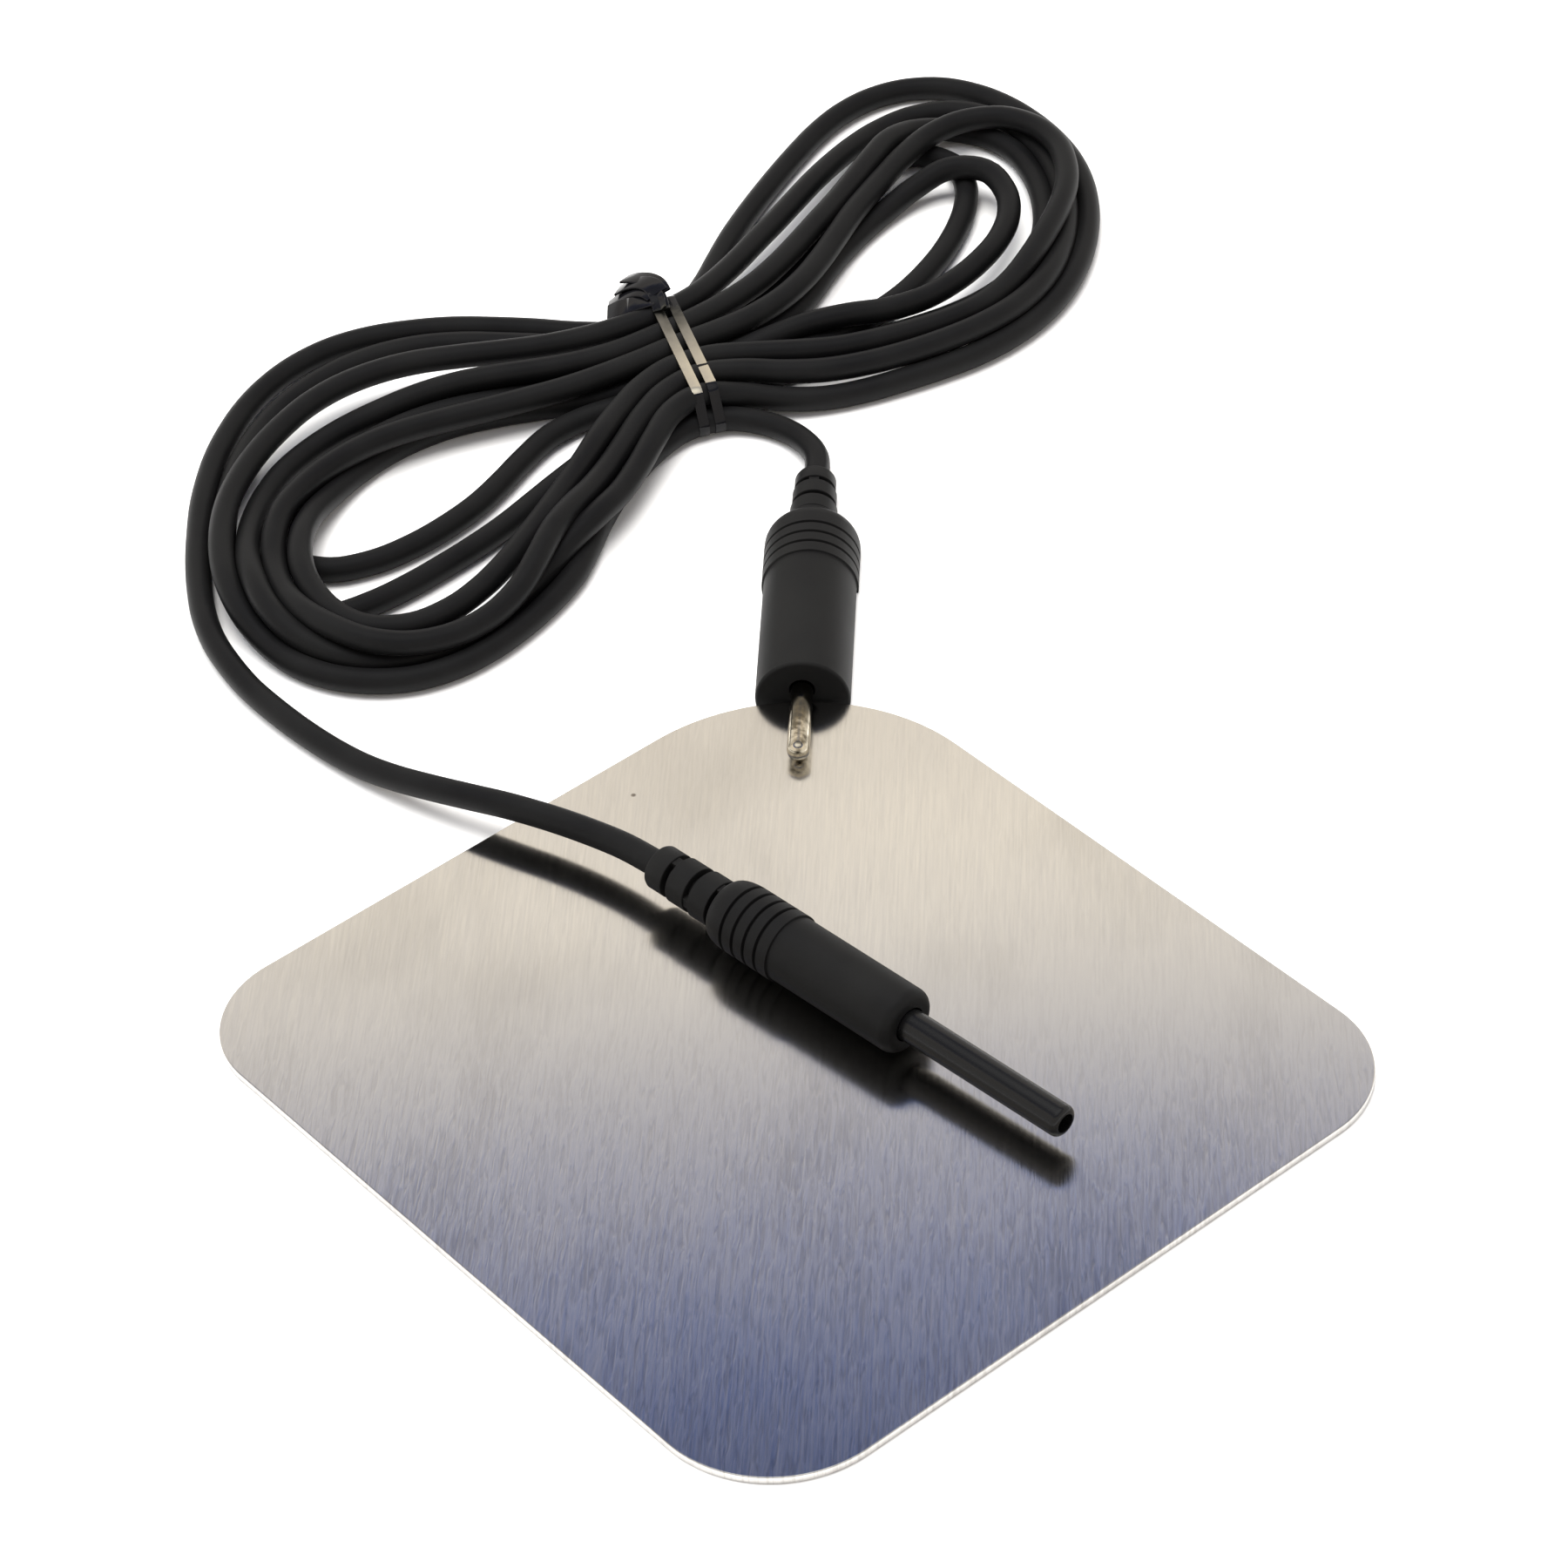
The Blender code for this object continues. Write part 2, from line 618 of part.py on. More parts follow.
def make_sleeve_plug(rubber, sleeve_black, nickel, copper, jacket):
    place = sleeve_plug_place()
    collar_front = -SLEEVE_BARREL_LENGTH
    collar_radius = SLEEVE_BARREL_RADIUS + SLEEVE_COLLAR_STEP
    shoulder_front = collar_front - SLEEVE_RIB_COUNT * SLEEVE_RIB_PITCH
    shoulder_rear = shoulder_front - SLEEVE_SHOULDER_LENGTH
    rear = shoulder_rear - SLEEVE_RELIEF_LENGTH

    profile = [(0.0, 0.0)] + quarter(SLEEVE_BARREL_RADIUS, 0.0, SLEEVE_BARREL_EDGE)
    profile += [(SLEEVE_BARREL_RADIUS, collar_front), (collar_radius, collar_front - 0.0001)]
    for index in range(1, SLEEVE_RIB_COUNT + 1):
        profile += groove(collar_radius, collar_front - index * SLEEVE_RIB_PITCH)
    for step in range(1, 4):
        turn = math.pi / 2 * step / 4
        drop = (collar_radius - SLEEVE_SHOULDER_RADIUS) * (1.0 - math.cos(turn))
        profile.append((collar_radius - drop, shoulder_front - SLEEVE_SHOULDER_LENGTH * math.sin(turn)))
    radii = (SLEEVE_RELIEF_FRONT_RADIUS, SLEEVE_RELIEF_REAR_RADIUS)
    profile += [(SLEEVE_SHOULDER_RADIUS, shoulder_rear)]
    profile += relief_profile(shoulder_rear, rear, *radii) + [(0.0, rear)]
    body = turned("sleeve_plug_body", profile, 36, rubber, place)
    for rib in relief_bridges("sleeve_plug", shoulder_rear, rear, *radii, place):
        boolean(body, rib, "UNION")

    tube_radius = SLEEVE_TUBE_DIAMETER / 2
    seat = -SLEEVE_TUBE_SEAT
    flange_front, crimp_rear, shank = contact_shank(seat - FIT + FLANGE_DEPTH)
    jacket_front = crimp_rear - CRIMP_CLEAR
    mouth = tube_radius + FIT
    bore = plug_bore("sleeve_plug_bore", mouth, flange_front, crimp_rear, jacket_front, rear, place)
    boolean(body, bore, "DIFFERENCE")
    smooth(body)

    sleeve = quarter(tube_radius, SLEEVE_TUBE_REACH, SLEEVE_TUBE_EDGE)
    sleeve += [(tube_radius, seat), (SLEEVE_TUBE_BORE / 2, seat), (SLEEVE_TUBE_BORE / 2, SLEEVE_TUBE_REACH)]
    smooth(turned("sleeve_plug_sleeve", sleeve, 32, sleeve_black, place))

    socket_radius = SLEEVE_TUBE_BORE / 2 - FIT
    socket_front = SLEEVE_TUBE_REACH - SOCKET_RECESS
    socket = [
        (SOCKET_BORE / 2, socket_front - SOCKET_BORE_DEPTH),
        (SOCKET_BORE / 2, socket_front),
        (socket_radius, socket_front),
        (socket_radius, flange_front),
    ]
    contact = [(0.0, socket_front - SOCKET_BORE_DEPTH)] + socket + shank
    smooth(turned("sleeve_plug_contact", contact, 24, nickel, place))
    cord_core("sleeve_plug", jacket_front, rear, crimp_rear, copper, jacket, place)
    return place @ Vector((0.0, 0.0, rear)), (place.to_3x3() @ Vector((0.0, 0.0, -1.0)))


def tie_place():
    """A frame under the tie's middle: local X across the hank, local Y up, local Z along the hank."""
    across = Vector((math.cos(TIE_HEADING), math.sin(TIE_HEADING), 0.0))
    up = Vector((0.0, 0.0, 1.0))
    turn = Matrix((across, up, across.cross(up))).transposed().to_4x4()
    return Matrix.Translation((TIE_CENTRE.x, TIE_CENTRE.y, 0.0)) @ turn


def tie_outline(grow):
    """The tight outline round the outermost strands, grown on every side."""
    points = []
    for step in range(TIE_DIRECTIONS):
        turn = math.tau * (step + 0.5) / TIE_DIRECTIONS
        way = Vector((math.cos(turn), math.sin(turn)))
        strand = max((Vector(middle) for middle in TIE_STRANDS), key=lambda middle: middle.dot(way))
        points.append(tuple(strand + way * (CORD_DIAMETER / 2 + grow)))
    return points


def lead_seat(hank, name, end, before, outer_side):
    """Cuts the hank back to a flat face square to a lead's end, clear of the lead's last stretch."""
    way = (end - before).normalized()
    back = 0.030
    heading = math.atan2(way.y, way.x)
    place = Matrix.Translation((end.x, end.y, 0.0)) @ Matrix.Rotation(heading, 4, "Z")
    inner = CORD_DIAMETER / 2 + FIT
    outer = max(inner, abs(outer_side))
    low, high = (-inner, outer) if outer_side > 0.0 else (-outer, inner)
    top = end.z + inner if outer == inner else 2 * HANK_HEIGHT
    size = (back, high - low, 2 * top)
    cutter = block(name, size, (FIT - back / 2, (high + low) / 2, 0.0), place)
    boolean(hank, cutter, "DIFFERENCE")


def make_hank(jacket, leads):
    outlines = []
    for outline in (HANK_OUTLINE, LEFT_HOLE, RIGHT_HOLE):
        outlines.append(smooth_route([Vector(point) for point in outline], 0.006, True))
    place = Matrix.Translation((0.0, 0.0, STAND_OFF + HANK_HEIGHT / 2))
    hank = flat_solid("cord_hank", outlines, HANK_HEIGHT, jacket, place)
    seat_length = 2 * TIE_STRIP_WIDTH + TIE_STRIP_GAP + 2 * FIT
    wide = 2 * TIE_STRANDS[1][0]
    high = 2 * HANK_HEIGHT
    outside = [(-wide, -high), (wide, -high), (wide, high), (-wide, high)]
    seat = flat_solid("tie_seat", [outside, tie_outline(0.0)], seat_length, None, tie_place(), CUTTERS)
    boolean(hank, seat, "DIFFERENCE")
    for name, (route, outer_side) in leads.items():
        lead_seat(hank, name + "_seat", route[-1], route[-2], outer_side)
    smooth(hank)


def make_tie(finish):
    """Two turns of one strip side by side, joined where its ends are twisted together and folded over."""
    inner = tie_outline(FIT)
    outer = tie_outline(FIT + TIE_STRIP_THICKNESS)
    pitch = (TIE_STRIP_WIDTH + TIE_STRIP_GAP) / 2
    turns = []
    for name, side, collection in (("cord_tie", -1, PARTS), ("tie_second_turn", 1, CUTTERS)):
        place = tie_place() @ Matrix.Translation((0.0, 0.0, side * pitch))
        look = finish if collection == PARTS else None
        turns.append(flat_solid(name, [outer, inner], TIE_STRIP_WIDTH, look, place, collection))
    ring, second = turns
    boolean(ring, second, "UNION")
    knot_size = (TIE_KNOT_LENGTH, TIE_KNOT_HEIGHT, TIE_KNOT_WIDTH)
    across, height = TIE_STRANDS[3]
    knot_place = (across, height + CORD_DIAMETER / 2 + 1.5 * FIT + TIE_KNOT_HEIGHT / 2, 0.0)
    boolean(ring, block("tie_knot", knot_size, knot_place, tie_place()), "UNION")
    route = smooth_route([Vector(point) for point in TIE_TAIL], 2.4 * TIE_TAIL_RADIUS)
    tail = tube("tie_tail_form", route, 2 * TIE_TAIL_RADIUS, finish, 2)
    bpy.context.view_layer.update()
    graph = bpy.context.evaluated_depsgraph_get()
    mesh = bpy.data.meshes.new_from_object(tail.evaluated_get(graph))
    bpy.data.objects.remove(tail)
    weld(mesh)
    boolean(ring, add("tie_tail", mesh, None, CUTTERS), "UNION")
    smooth(ring)


def make_leads(jacket, sleeve_end, sleeve_way, pin_end, pin_way):
    spacing = 2.2 * CORD_DIAMETER
    first = sleeve_end + sleeve_way * FIT
    route = [first, first + sleeve_way * CORD_DIAMETER] + [Vector(point) for point in LEAD_TO_SLEEVE_PLUG]
    to_sleeve_plug = smooth_route(route, spacing)
    tube("lead_to_sleeve_plug", to_sleeve_plug, CORD_DIAMETER, jacket)
    first = pin_end + pin_way * FIT
    route = [first, first + pin_way * CORD_DIAMETER / 2] + [Vector(point) for point in LEAD_TO_PIN_PLUG]
    to_pin_plug = smooth_route(route, spacing)
    tube("lead_to_pin_plug", to_pin_plug, CORD_DIAMETER, jacket)
    return {"lead_to_sleeve_plug": (to_sleeve_plug, 4 * CORD_DIAMETER), "lead_to_pin_plug": (to_pin_plug, 0.0)}


def main():
    clear_scene()
    stainless = material("brushed_stainless", (0.62, 0.60, 0.57), 0.32, 1.0)
    rubber = material("plug_moulding", (0.028, 0.028, 0.030), 0.55)
    sleeve_black = material("sleeve_black", (0.020, 0.020, 0.022), 0.30)
    jacket = material("cord_jacket", (0.030, 0.030, 0.032), 0.50)
    nickel = material("nickel_contact", (0.72, 0.66, 0.55), 0.22, 1.0)
    copper = material("copper_conductor", (0.80, 0.42, 0.28), 0.35, 1.0)
    make_plate(stainless)
    pin_end, pin_way = make_pin_plug(rubber, nickel, copper, jacket)
    sleeve_end, sleeve_way = make_sleeve_plug(rubber, sleeve_black, nickel, copper, jacket)
    leads = make_leads(jacket, sleeve_end, sleeve_way, pin_end, pin_way)
    make_hank(jacket, leads)
    make_tie(material("tie_plastic", (0.02, 0.02, 0.02), 0.12))


main()
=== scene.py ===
# %% [markdown]
# # A reusable return electrode, dressed for its portrait
# The part is a flat stainless plate that lies under a patient, and the lead that takes the current back:
# a black cord with a pin plug on one end and a long sleeve plug on the other, wound into a tied hank.
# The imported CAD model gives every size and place. This lesson makes the surfaces that a camera sees.
# All numbers are metres, +Z is up, and the plate's underside is on Z = 0.

import math

import bmesh
import bpy
from mathutils import Matrix, Vector


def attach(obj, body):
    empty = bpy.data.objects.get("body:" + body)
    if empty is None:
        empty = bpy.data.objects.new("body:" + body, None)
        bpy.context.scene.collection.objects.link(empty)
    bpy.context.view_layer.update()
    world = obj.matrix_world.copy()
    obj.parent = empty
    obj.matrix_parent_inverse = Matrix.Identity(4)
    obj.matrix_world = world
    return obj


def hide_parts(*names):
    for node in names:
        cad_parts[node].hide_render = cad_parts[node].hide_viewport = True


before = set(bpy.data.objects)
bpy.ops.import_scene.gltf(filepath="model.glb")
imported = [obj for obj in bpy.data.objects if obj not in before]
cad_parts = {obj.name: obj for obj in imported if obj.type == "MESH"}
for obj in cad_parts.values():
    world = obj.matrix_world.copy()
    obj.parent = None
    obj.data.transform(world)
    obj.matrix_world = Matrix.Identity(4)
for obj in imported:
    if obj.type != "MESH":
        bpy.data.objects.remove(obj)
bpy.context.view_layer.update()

# %% [markdown]
# ## The camera
# A product picture is easiest to match when the camera comes first. These numbers came from matching the
# plate's four edges in the photograph: a long lens, looking down at 43 degrees across the plate's near
# left corner. The rows of `looks` are the camera's right, up and backward directions.

# %% Camera
def put(name, data):
    """Puts new data into the scene as an object at the origin."""
    made = bpy.data.objects.new(name, data)
    bpy.context.scene.collection.objects.link(made)
    return made


looks = Matrix(((0.6466, 0.7609, -0.0534), (-0.4685, 0.4515, 0.7594), (0.6019, -0.4660, 0.6485)))
camera_data = bpy.data.cameras.new("camera")
camera_data.lens = 117.28
camera_data.sensor_width = 36.0
camera_data.clip_start = 0.01
camera_data.dof.use_dof = False
camera = put("camera", camera_data)
camera.matrix_world = Matrix.Translation((0.47992, -0.36922, 0.57282)) @ looks.transposed().to_4x4()
bpy.context.scene.camera = camera
bpy.context.scene.view_settings.view_transform = "Standard"
print("camera", [round(value, 3) for value in camera.location], "lens", camera_data.lens)

# %% [markdown]
# ## The cord's route
# A cord is one thing from plug to plug, so its route is one list of points. They are grouped in
# stretches that end at the tie: out of the sleeve plug, then back and forth 13 times through the tie,
# which makes six loops on each side, and out to the pin plug. Points lie 8 mm apart, in millimetres,
# at the middle of the cord. Where strands cross, one lies on the other.

# %% Route points
CORD_DIAMETER = 0.0047
ROUTE_MM = (
    (  # stretch 0
        (-42.6, 7.7, 8.4), (-50.5, 6.8, 8.1), (-58.3, 5.0, 7.7), (-65.9, 2.6, 7.4),
        (-73.4, -0.3, 7.1), (-80.8, -3.3, 6.4), (-88.2, -5.9, 5.4), (-95.9, -8.0, 4.1),
        (-103.6, -9.5, 3.0), (-111.5, -10.5, 2.5), (-119.5, -11.1, 2.4), (-127.5, -11.3, 2.5),
        (-135.5, -10.9, 2.4), (-143.4, -9.7, 2.5), (-151.1, -7.7, 2.4), (-158.5, -4.6, 2.4),
        (-165.4, -0.7, 2.4), (-172.1, 3.7, 2.5), (-178.5, 8.5, 2.5), (-184.7, 13.5, 2.5),
        (-190.5, 19.0, 2.5), (-195.9, 24.9, 2.5), (-200.6, 31.4, 2.5), (-204.6, 38.3, 2.5),
        (-207.5, 45.8, 2.5), (-208.9, 53.6, 2.5), (-208.5, 61.6, 2.5), (-206.2, 69.2, 2.4),
        (-202.2, 76.2, 2.4), (-197.3, 82.4, 2.5), (-191.6, 88.0, 2.5), (-185.6, 93.3, 2.5),
        (-179.4, 98.4, 2.4), (-173.8, 104.0, 2.5), (-170.0, 111.0, 2.9),
    ),
    (  # stretch 1
        (-170.8, 118.9, 2.7), (-174.3, 126.1, 2.4), (-178.5, 132.9, 2.4), (-182.6, 139.7, 2.5),
        (-186.4, 146.7, 2.4), (-189.9, 153.9, 2.4), (-193.2, 161.2, 2.4), (-196.3, 168.6, 2.4),
        (-199.1, 176.1, 2.4), (-200.9, 183.8, 2.5), (-201.1, 191.8, 2.5), (-198.9, 199.5, 2.4),
        (-193.8, 205.6, 2.4), (-186.7, 209.1, 2.4), (-178.9, 210.4, 2.5), (-170.9, 210.2, 2.5),
        (-163.0, 208.8, 2.5), (-155.4, 206.3, 2.5), (-148.3, 202.6, 2.4), (-141.8, 197.9, 2.4),
        (-136.0, 192.5, 2.4), (-130.8, 186.4, 2.4), (-126.4, 179.8, 2.5), (-122.9, 172.6, 2.5),
        (-120.6, 164.9, 2.5), (-119.6, 157.0, 2.5), (-119.9, 149.0, 2.5), (-121.4, 141.2, 2.5),
        (-123.5, 133.5, 2.5), (-126.1, 125.9, 2.4), (-129.5, 118.7, 2.6), (-134.0, 112.1, 3.5),
        (-138.7, 105.9, 5.2), (-141.9, 98.9, 6.9),
    ),
    (  # stretch 2
        (-140.9, 91.0, 7.4), (-137.3, 83.9, 7.0), (-133.4, 77.0, 6.5), (-129.7, 69.9, 6.5),
        (-127.0, 62.4, 6.9), (-125.2, 54.7, 6.1), (-123.4, 47.0, 4.3), (-121.5, 39.4, 2.9),
        (-119.8, 31.6, 2.4), (-119.4, 23.7, 2.4), (-121.4, 15.9, 2.4), (-125.7, 9.3, 2.7),
        (-131.9, 4.4, 4.0), (-139.2, 1.8, 5.9), (-147.0, 2.0, 7.3), (-154.5, 4.5, 7.5),
        (-161.6, 8.1, 6.5), (-168.0, 12.6, 4.9), (-173.9, 17.8, 3.5), (-179.0, 23.9, 2.6),
        (-182.9, 30.9, 2.4), (-185.0, 38.5, 2.5), (-185.4, 46.5, 3.0), (-184.3, 54.4, 3.7),
        (-182.1, 62.0, 4.7), (-178.8, 69.2, 5.6), (-174.6, 76.0, 6.2), (-170.3, 82.7, 6.4),
        (-166.7, 89.8, 6.4), (-164.1, 97.4, 6.5), (-162.5, 105.2, 6.9),
    ),
    (  # stretch 3
        (-161.6, 113.1, 7.0), (-161.6, 121.1, 6.9), (-162.4, 129.1, 6.9), (-164.3, 136.8, 7.0),
        (-166.9, 144.4, 7.1), (-169.8, 151.8, 7.1), (-172.8, 159.2, 6.9), (-176.0, 166.6, 6.9),
        (-179.2, 173.9, 7.0), (-182.2, 181.3, 6.6), (-183.4, 188.9, 4.7), (-180.9, 196.1, 2.8),
        (-174.1, 200.1, 2.4), (-166.2, 200.3, 2.5), (-158.5, 197.9, 2.5), (-151.5, 194.2, 2.5),
        (-145.1, 189.4, 2.4), (-139.6, 183.6, 2.4), (-135.5, 176.8, 2.5), (-132.9, 169.2, 2.5),
        (-132.0, 161.3, 2.5), (-132.7, 153.3, 2.5), (-134.6, 145.6, 2.5), (-136.9, 137.9, 2.5),
        (-139.0, 130.2, 2.4), (-140.6, 122.4, 2.5), (-142.2, 114.6, 2.4), (-143.7, 106.7, 2.5),
    ),
    (  # stretch 4
        (-145.0, 98.8, 2.6), (-145.9, 90.9, 2.5), (-146.1, 82.9, 2.4), (-145.7, 74.9, 2.5),
        (-144.4, 67.0, 2.4), (-142.7, 59.2, 2.4), (-141.0, 51.4, 2.4), (-139.9, 43.5, 2.4),
        (-139.3, 35.5, 2.4), (-139.1, 27.5, 2.4), (-139.7, 19.6, 2.4), (-141.7, 11.9, 2.4),
        (-146.6, 5.7, 2.4), (-154.3, 3.6, 2.4), (-162.1, 4.8, 2.5), (-169.5, 7.9, 2.5),
        (-176.1, 12.4, 2.5), (-182.2, 17.5, 2.5), (-187.8, 23.2, 2.5), (-192.8, 29.5, 2.5),
        (-196.8, 36.4, 2.5), (-199.8, 43.8, 2.5), (-201.4, 51.6, 2.5), (-201.6, 59.6, 2.5),
        (-200.0, 67.4, 2.5), (-196.6, 74.6, 2.5), (-191.7, 80.9, 2.5), (-186.0, 86.5, 2.4),
        (-180.0, 91.7, 2.5), (-173.9, 97.0, 2.4), (-168.5, 102.9, 2.6),
    ),
    (  # stretch 5
        (-164.7, 109.9, 2.8), (-163.2, 117.7, 2.6), (-163.4, 125.6, 2.4), (-164.8, 133.5, 2.5),
        (-167.0, 141.2, 2.5), (-169.8, 148.7, 2.5), (-173.1, 156.0, 2.5), (-176.6, 163.2, 2.5),
        (-179.6, 170.5, 2.5), (-181.1, 178.4, 2.5), (-178.9, 185.9, 2.4), (-171.6, 188.6, 2.4),
        (-164.3, 185.7, 2.4), (-158.4, 180.3, 2.4), (-153.7, 173.8, 2.4), (-149.8, 166.8, 2.4),
        (-146.8, 159.4, 2.4), (-144.6, 151.7, 2.4), (-143.5, 143.8, 2.4), (-143.4, 135.8, 2.4),
        (-144.2, 127.9, 2.5), (-145.5, 120.0, 2.4), (-147.2, 112.2, 2.5), (-149.2, 104.5, 2.8),
    ),
    (  # stretch 6
        (-151.8, 96.9, 2.7), (-154.6, 89.4, 2.4), (-156.6, 81.7, 2.4), (-156.6, 73.7, 2.5),
        (-154.5, 66.0, 2.4), (-151.7, 58.5, 2.5), (-149.4, 50.9, 2.5), (-148.2, 43.0, 2.5),
        (-148.1, 35.0, 2.4), (-149.3, 27.1, 2.4), (-152.8, 19.9, 2.5), (-159.6, 16.3, 2.5),
        (-167.0, 18.9, 2.5), (-172.3, 24.8, 2.5), (-175.9, 32.0, 2.5), (-178.1, 39.7, 2.5),
        (-179.1, 47.6, 2.5), (-178.9, 55.6, 2.5), (-177.2, 63.4, 2.5), (-174.2, 70.8, 2.5),
        (-170.6, 77.9, 2.4), (-166.9, 85.0, 2.5), (-163.7, 92.3, 2.4), (-161.3, 99.9, 2.5),
    ),
    (  # stretch 7
        (-159.1, 107.6, 2.8), (-156.7, 115.2, 2.6), (-154.6, 122.9, 2.4), (-154.5, 130.9, 2.5),
        (-157.1, 138.4, 2.4), (-160.6, 145.6, 2.5), (-163.9, 152.9, 2.4), (-166.5, 160.5, 2.4),
        (-168.2, 168.2, 2.7), (-168.7, 176.1, 4.0), (-166.6, 183.4, 6.2), (-160.1, 187.6, 6.8),
        (-152.4, 185.9, 6.2), (-146.2, 180.9, 5.9), (-141.8, 174.3, 5.8), (-138.9, 166.8, 5.8),
        (-137.4, 159.0, 5.7), (-137.3, 151.0, 5.7), (-139.0, 143.2, 6.1), (-142.3, 136.0, 6.7),
        (-146.0, 128.9, 6.2), (-149.4, 121.9, 4.6), (-152.0, 114.4, 3.2), (-154.2, 106.8, 2.9),
    ),
    (  # stretch 8
        (-156.3, 99.1, 2.6), (-158.7, 91.4, 2.4), (-161.9, 84.1, 2.4), (-165.7, 77.1, 2.5),
        (-169.4, 70.0, 2.5), (-172.4, 62.6, 2.5), (-174.0, 54.8, 2.4), (-174.0, 46.8, 2.4),
        (-172.4, 39.0, 2.7), (-169.4, 31.6, 3.6), (-165.4, 24.9, 5.1), (-160.1, 19.1, 6.6),
        (-153.7, 14.3, 7.1), (-146.4, 11.3, 6.8), (-138.5, 10.3, 6.4), (-130.9, 12.3, 6.1),
        (-125.8, 18.4, 6.0), (-124.4, 26.2, 6.1), (-125.6, 34.1, 6.1), (-128.1, 41.7, 6.1),
        (-131.3, 49.0, 6.1), (-134.7, 56.2, 6.1), (-138.2, 63.4, 6.2), (-141.7, 70.6, 6.6),
        (-145.3, 77.7, 7.1), (-148.7, 84.9, 7.0), (-151.5, 92.4, 7.0), (-152.3, 100.3, 7.1),
    ),
    (  # stretch 9
        (-149.9, 107.9, 7.1), (-145.3, 114.4, 7.0), (-140.4, 120.7, 6.8), (-136.2, 127.5, 6.3),
        (-132.9, 134.8, 6.1), (-130.2, 142.3, 6.0), (-128.3, 150.1, 5.9), (-127.7, 158.0, 6.0),
        (-128.9, 165.9, 6.6), (-131.4, 173.4, 7.6), (-134.7, 180.6, 8.4), (-138.7, 187.6, 8.6),
        (-143.5, 193.9, 8.5), (-149.5, 199.2, 8.3), (-156.4, 203.1, 7.9), (-164.2, 204.6, 7.4),
        (-171.8, 202.5, 7.0), (-176.6, 196.2, 6.8), (-177.5, 188.3, 6.8), (-176.1, 180.5, 6.5),
        (-173.6, 172.9, 6.2), (-170.5, 165.5, 6.5), (-167.1, 158.3, 6.9), (-163.4, 151.2, 7.0),
        (-159.8, 144.0, 7.0), (-156.7, 136.7, 7.1), (-154.7, 129.0, 7.2), (-154.4, 121.0, 7.1),
        (-155.6, 113.1, 7.0),
    ),
    (  # stretch 10
        (-157.2, 105.3, 7.0), (-158.5, 97.4, 6.8), (-159.9, 89.5, 6.8), (-161.9, 81.8, 6.7),
        (-164.8, 74.3, 6.5), (-167.9, 67.0, 6.2), (-170.8, 59.5, 6.2), (-172.8, 51.8, 6.6),
        (-173.9, 43.9, 6.8), (-173.7, 35.9, 6.7), (-171.9, 28.2, 6.8), (-168.4, 21.0, 7.1),
        (-163.1, 15.1, 6.8), (-156.6, 10.5, 6.1), (-149.3, 7.2, 6.6), (-141.6, 5.7, 7.6),
        (-133.6, 6.4, 8.0), (-126.2, 9.3, 7.5), (-120.5, 14.7, 7.0), (-117.5, 22.1, 6.7),
        (-117.3, 30.1, 6.7), (-119.2, 37.8, 7.4), (-122.6, 44.9, 8.8), (-126.6, 51.7, 9.4),
        (-130.3, 58.8, 8.5), (-133.6, 65.9, 7.1), (-137.2, 73.0, 6.4), (-141.0, 80.0, 6.3),
        (-144.5, 87.2, 6.8), (-147.0, 94.8, 7.1),
    ),
    (  # stretch 11
        (-146.6, 102.7, 7.2), (-142.4, 109.5, 7.0), (-137.2, 115.5, 6.4), (-132.5, 121.9, 6.0),
        (-128.8, 129.0, 5.9), (-126.0, 136.5, 5.9), (-123.9, 144.2, 6.0), (-122.7, 152.1, 6.0),
        (-122.8, 160.1, 5.9), (-124.5, 167.9, 5.6), (-127.8, 175.2, 5.1), (-132.2, 181.8, 4.5),
        (-137.3, 187.9, 4.0), (-143.1, 193.4, 3.8), (-149.6, 198.0, 3.6), (-156.7, 201.7, 3.3),
        (-164.2, 204.4, 2.7), (-172.1, 205.7, 2.5), (-180.0, 204.8, 2.4), (-186.6, 200.6, 2.4),
        (-190.1, 193.5, 2.5), (-190.6, 185.5, 2.8), (-189.1, 177.7, 3.5), (-186.7, 170.1, 4.2),
        (-183.9, 162.7, 4.8), (-180.9, 155.3, 5.1), (-177.9, 147.8, 5.3), (-175.1, 140.4, 5.5),
        (-172.2, 132.9, 5.7), (-169.7, 125.3, 6.0), (-167.8, 117.6, 6.6),
    ),
    (  # stretch 12
        (-167.4, 109.7, 7.2), (-169.1, 101.9, 7.2), (-172.3, 94.6, 6.6), (-176.4, 87.7, 6.1),
        (-180.8, 81.1, 6.0), (-185.3, 74.4, 6.0), (-189.3, 67.5, 6.1), (-192.1, 60.1, 6.1),
        (-193.3, 52.2, 6.1), (-192.7, 44.2, 6.1), (-190.6, 36.5, 6.0), (-187.5, 29.1, 6.0),
        (-183.5, 22.3, 6.2), (-178.6, 16.0, 6.6), (-172.8, 10.4, 6.9), (-166.4, 5.6, 6.8),
        (-159.5, 1.8, 6.1), (-152.0, -0.5, 4.5), (-144.2, -1.4, 3.0), (-136.3, -1.1, 2.4),
        (-128.6, 1.2, 2.4), (-122.0, 5.7, 2.5), (-117.2, 12.0, 2.4), (-114.7, 19.6, 2.4),
        (-114.4, 27.6, 2.4), (-115.5, 35.5, 2.4), (-117.5, 43.2, 2.4), (-120.4, 50.7, 2.4),
        (-124.6, 57.5, 2.5), (-129.2, 64.0, 2.4), (-133.3, 70.9, 2.5), (-136.7, 78.1, 2.4),
        (-139.3, 85.6, 2.5), (-140.2, 93.6, 2.7),
    ),
    (  # stretch 13
        (-137.5, 101.0, 2.7), (-131.2, 105.8, 2.4), (-123.4, 107.1, 2.7), (-115.8, 105.0, 3.4),
        (-109.8, 99.8, 3.8),
    ),
)
route_points = [Vector(point) / 1000.0 for stretch in ROUTE_MM for point in stretch]
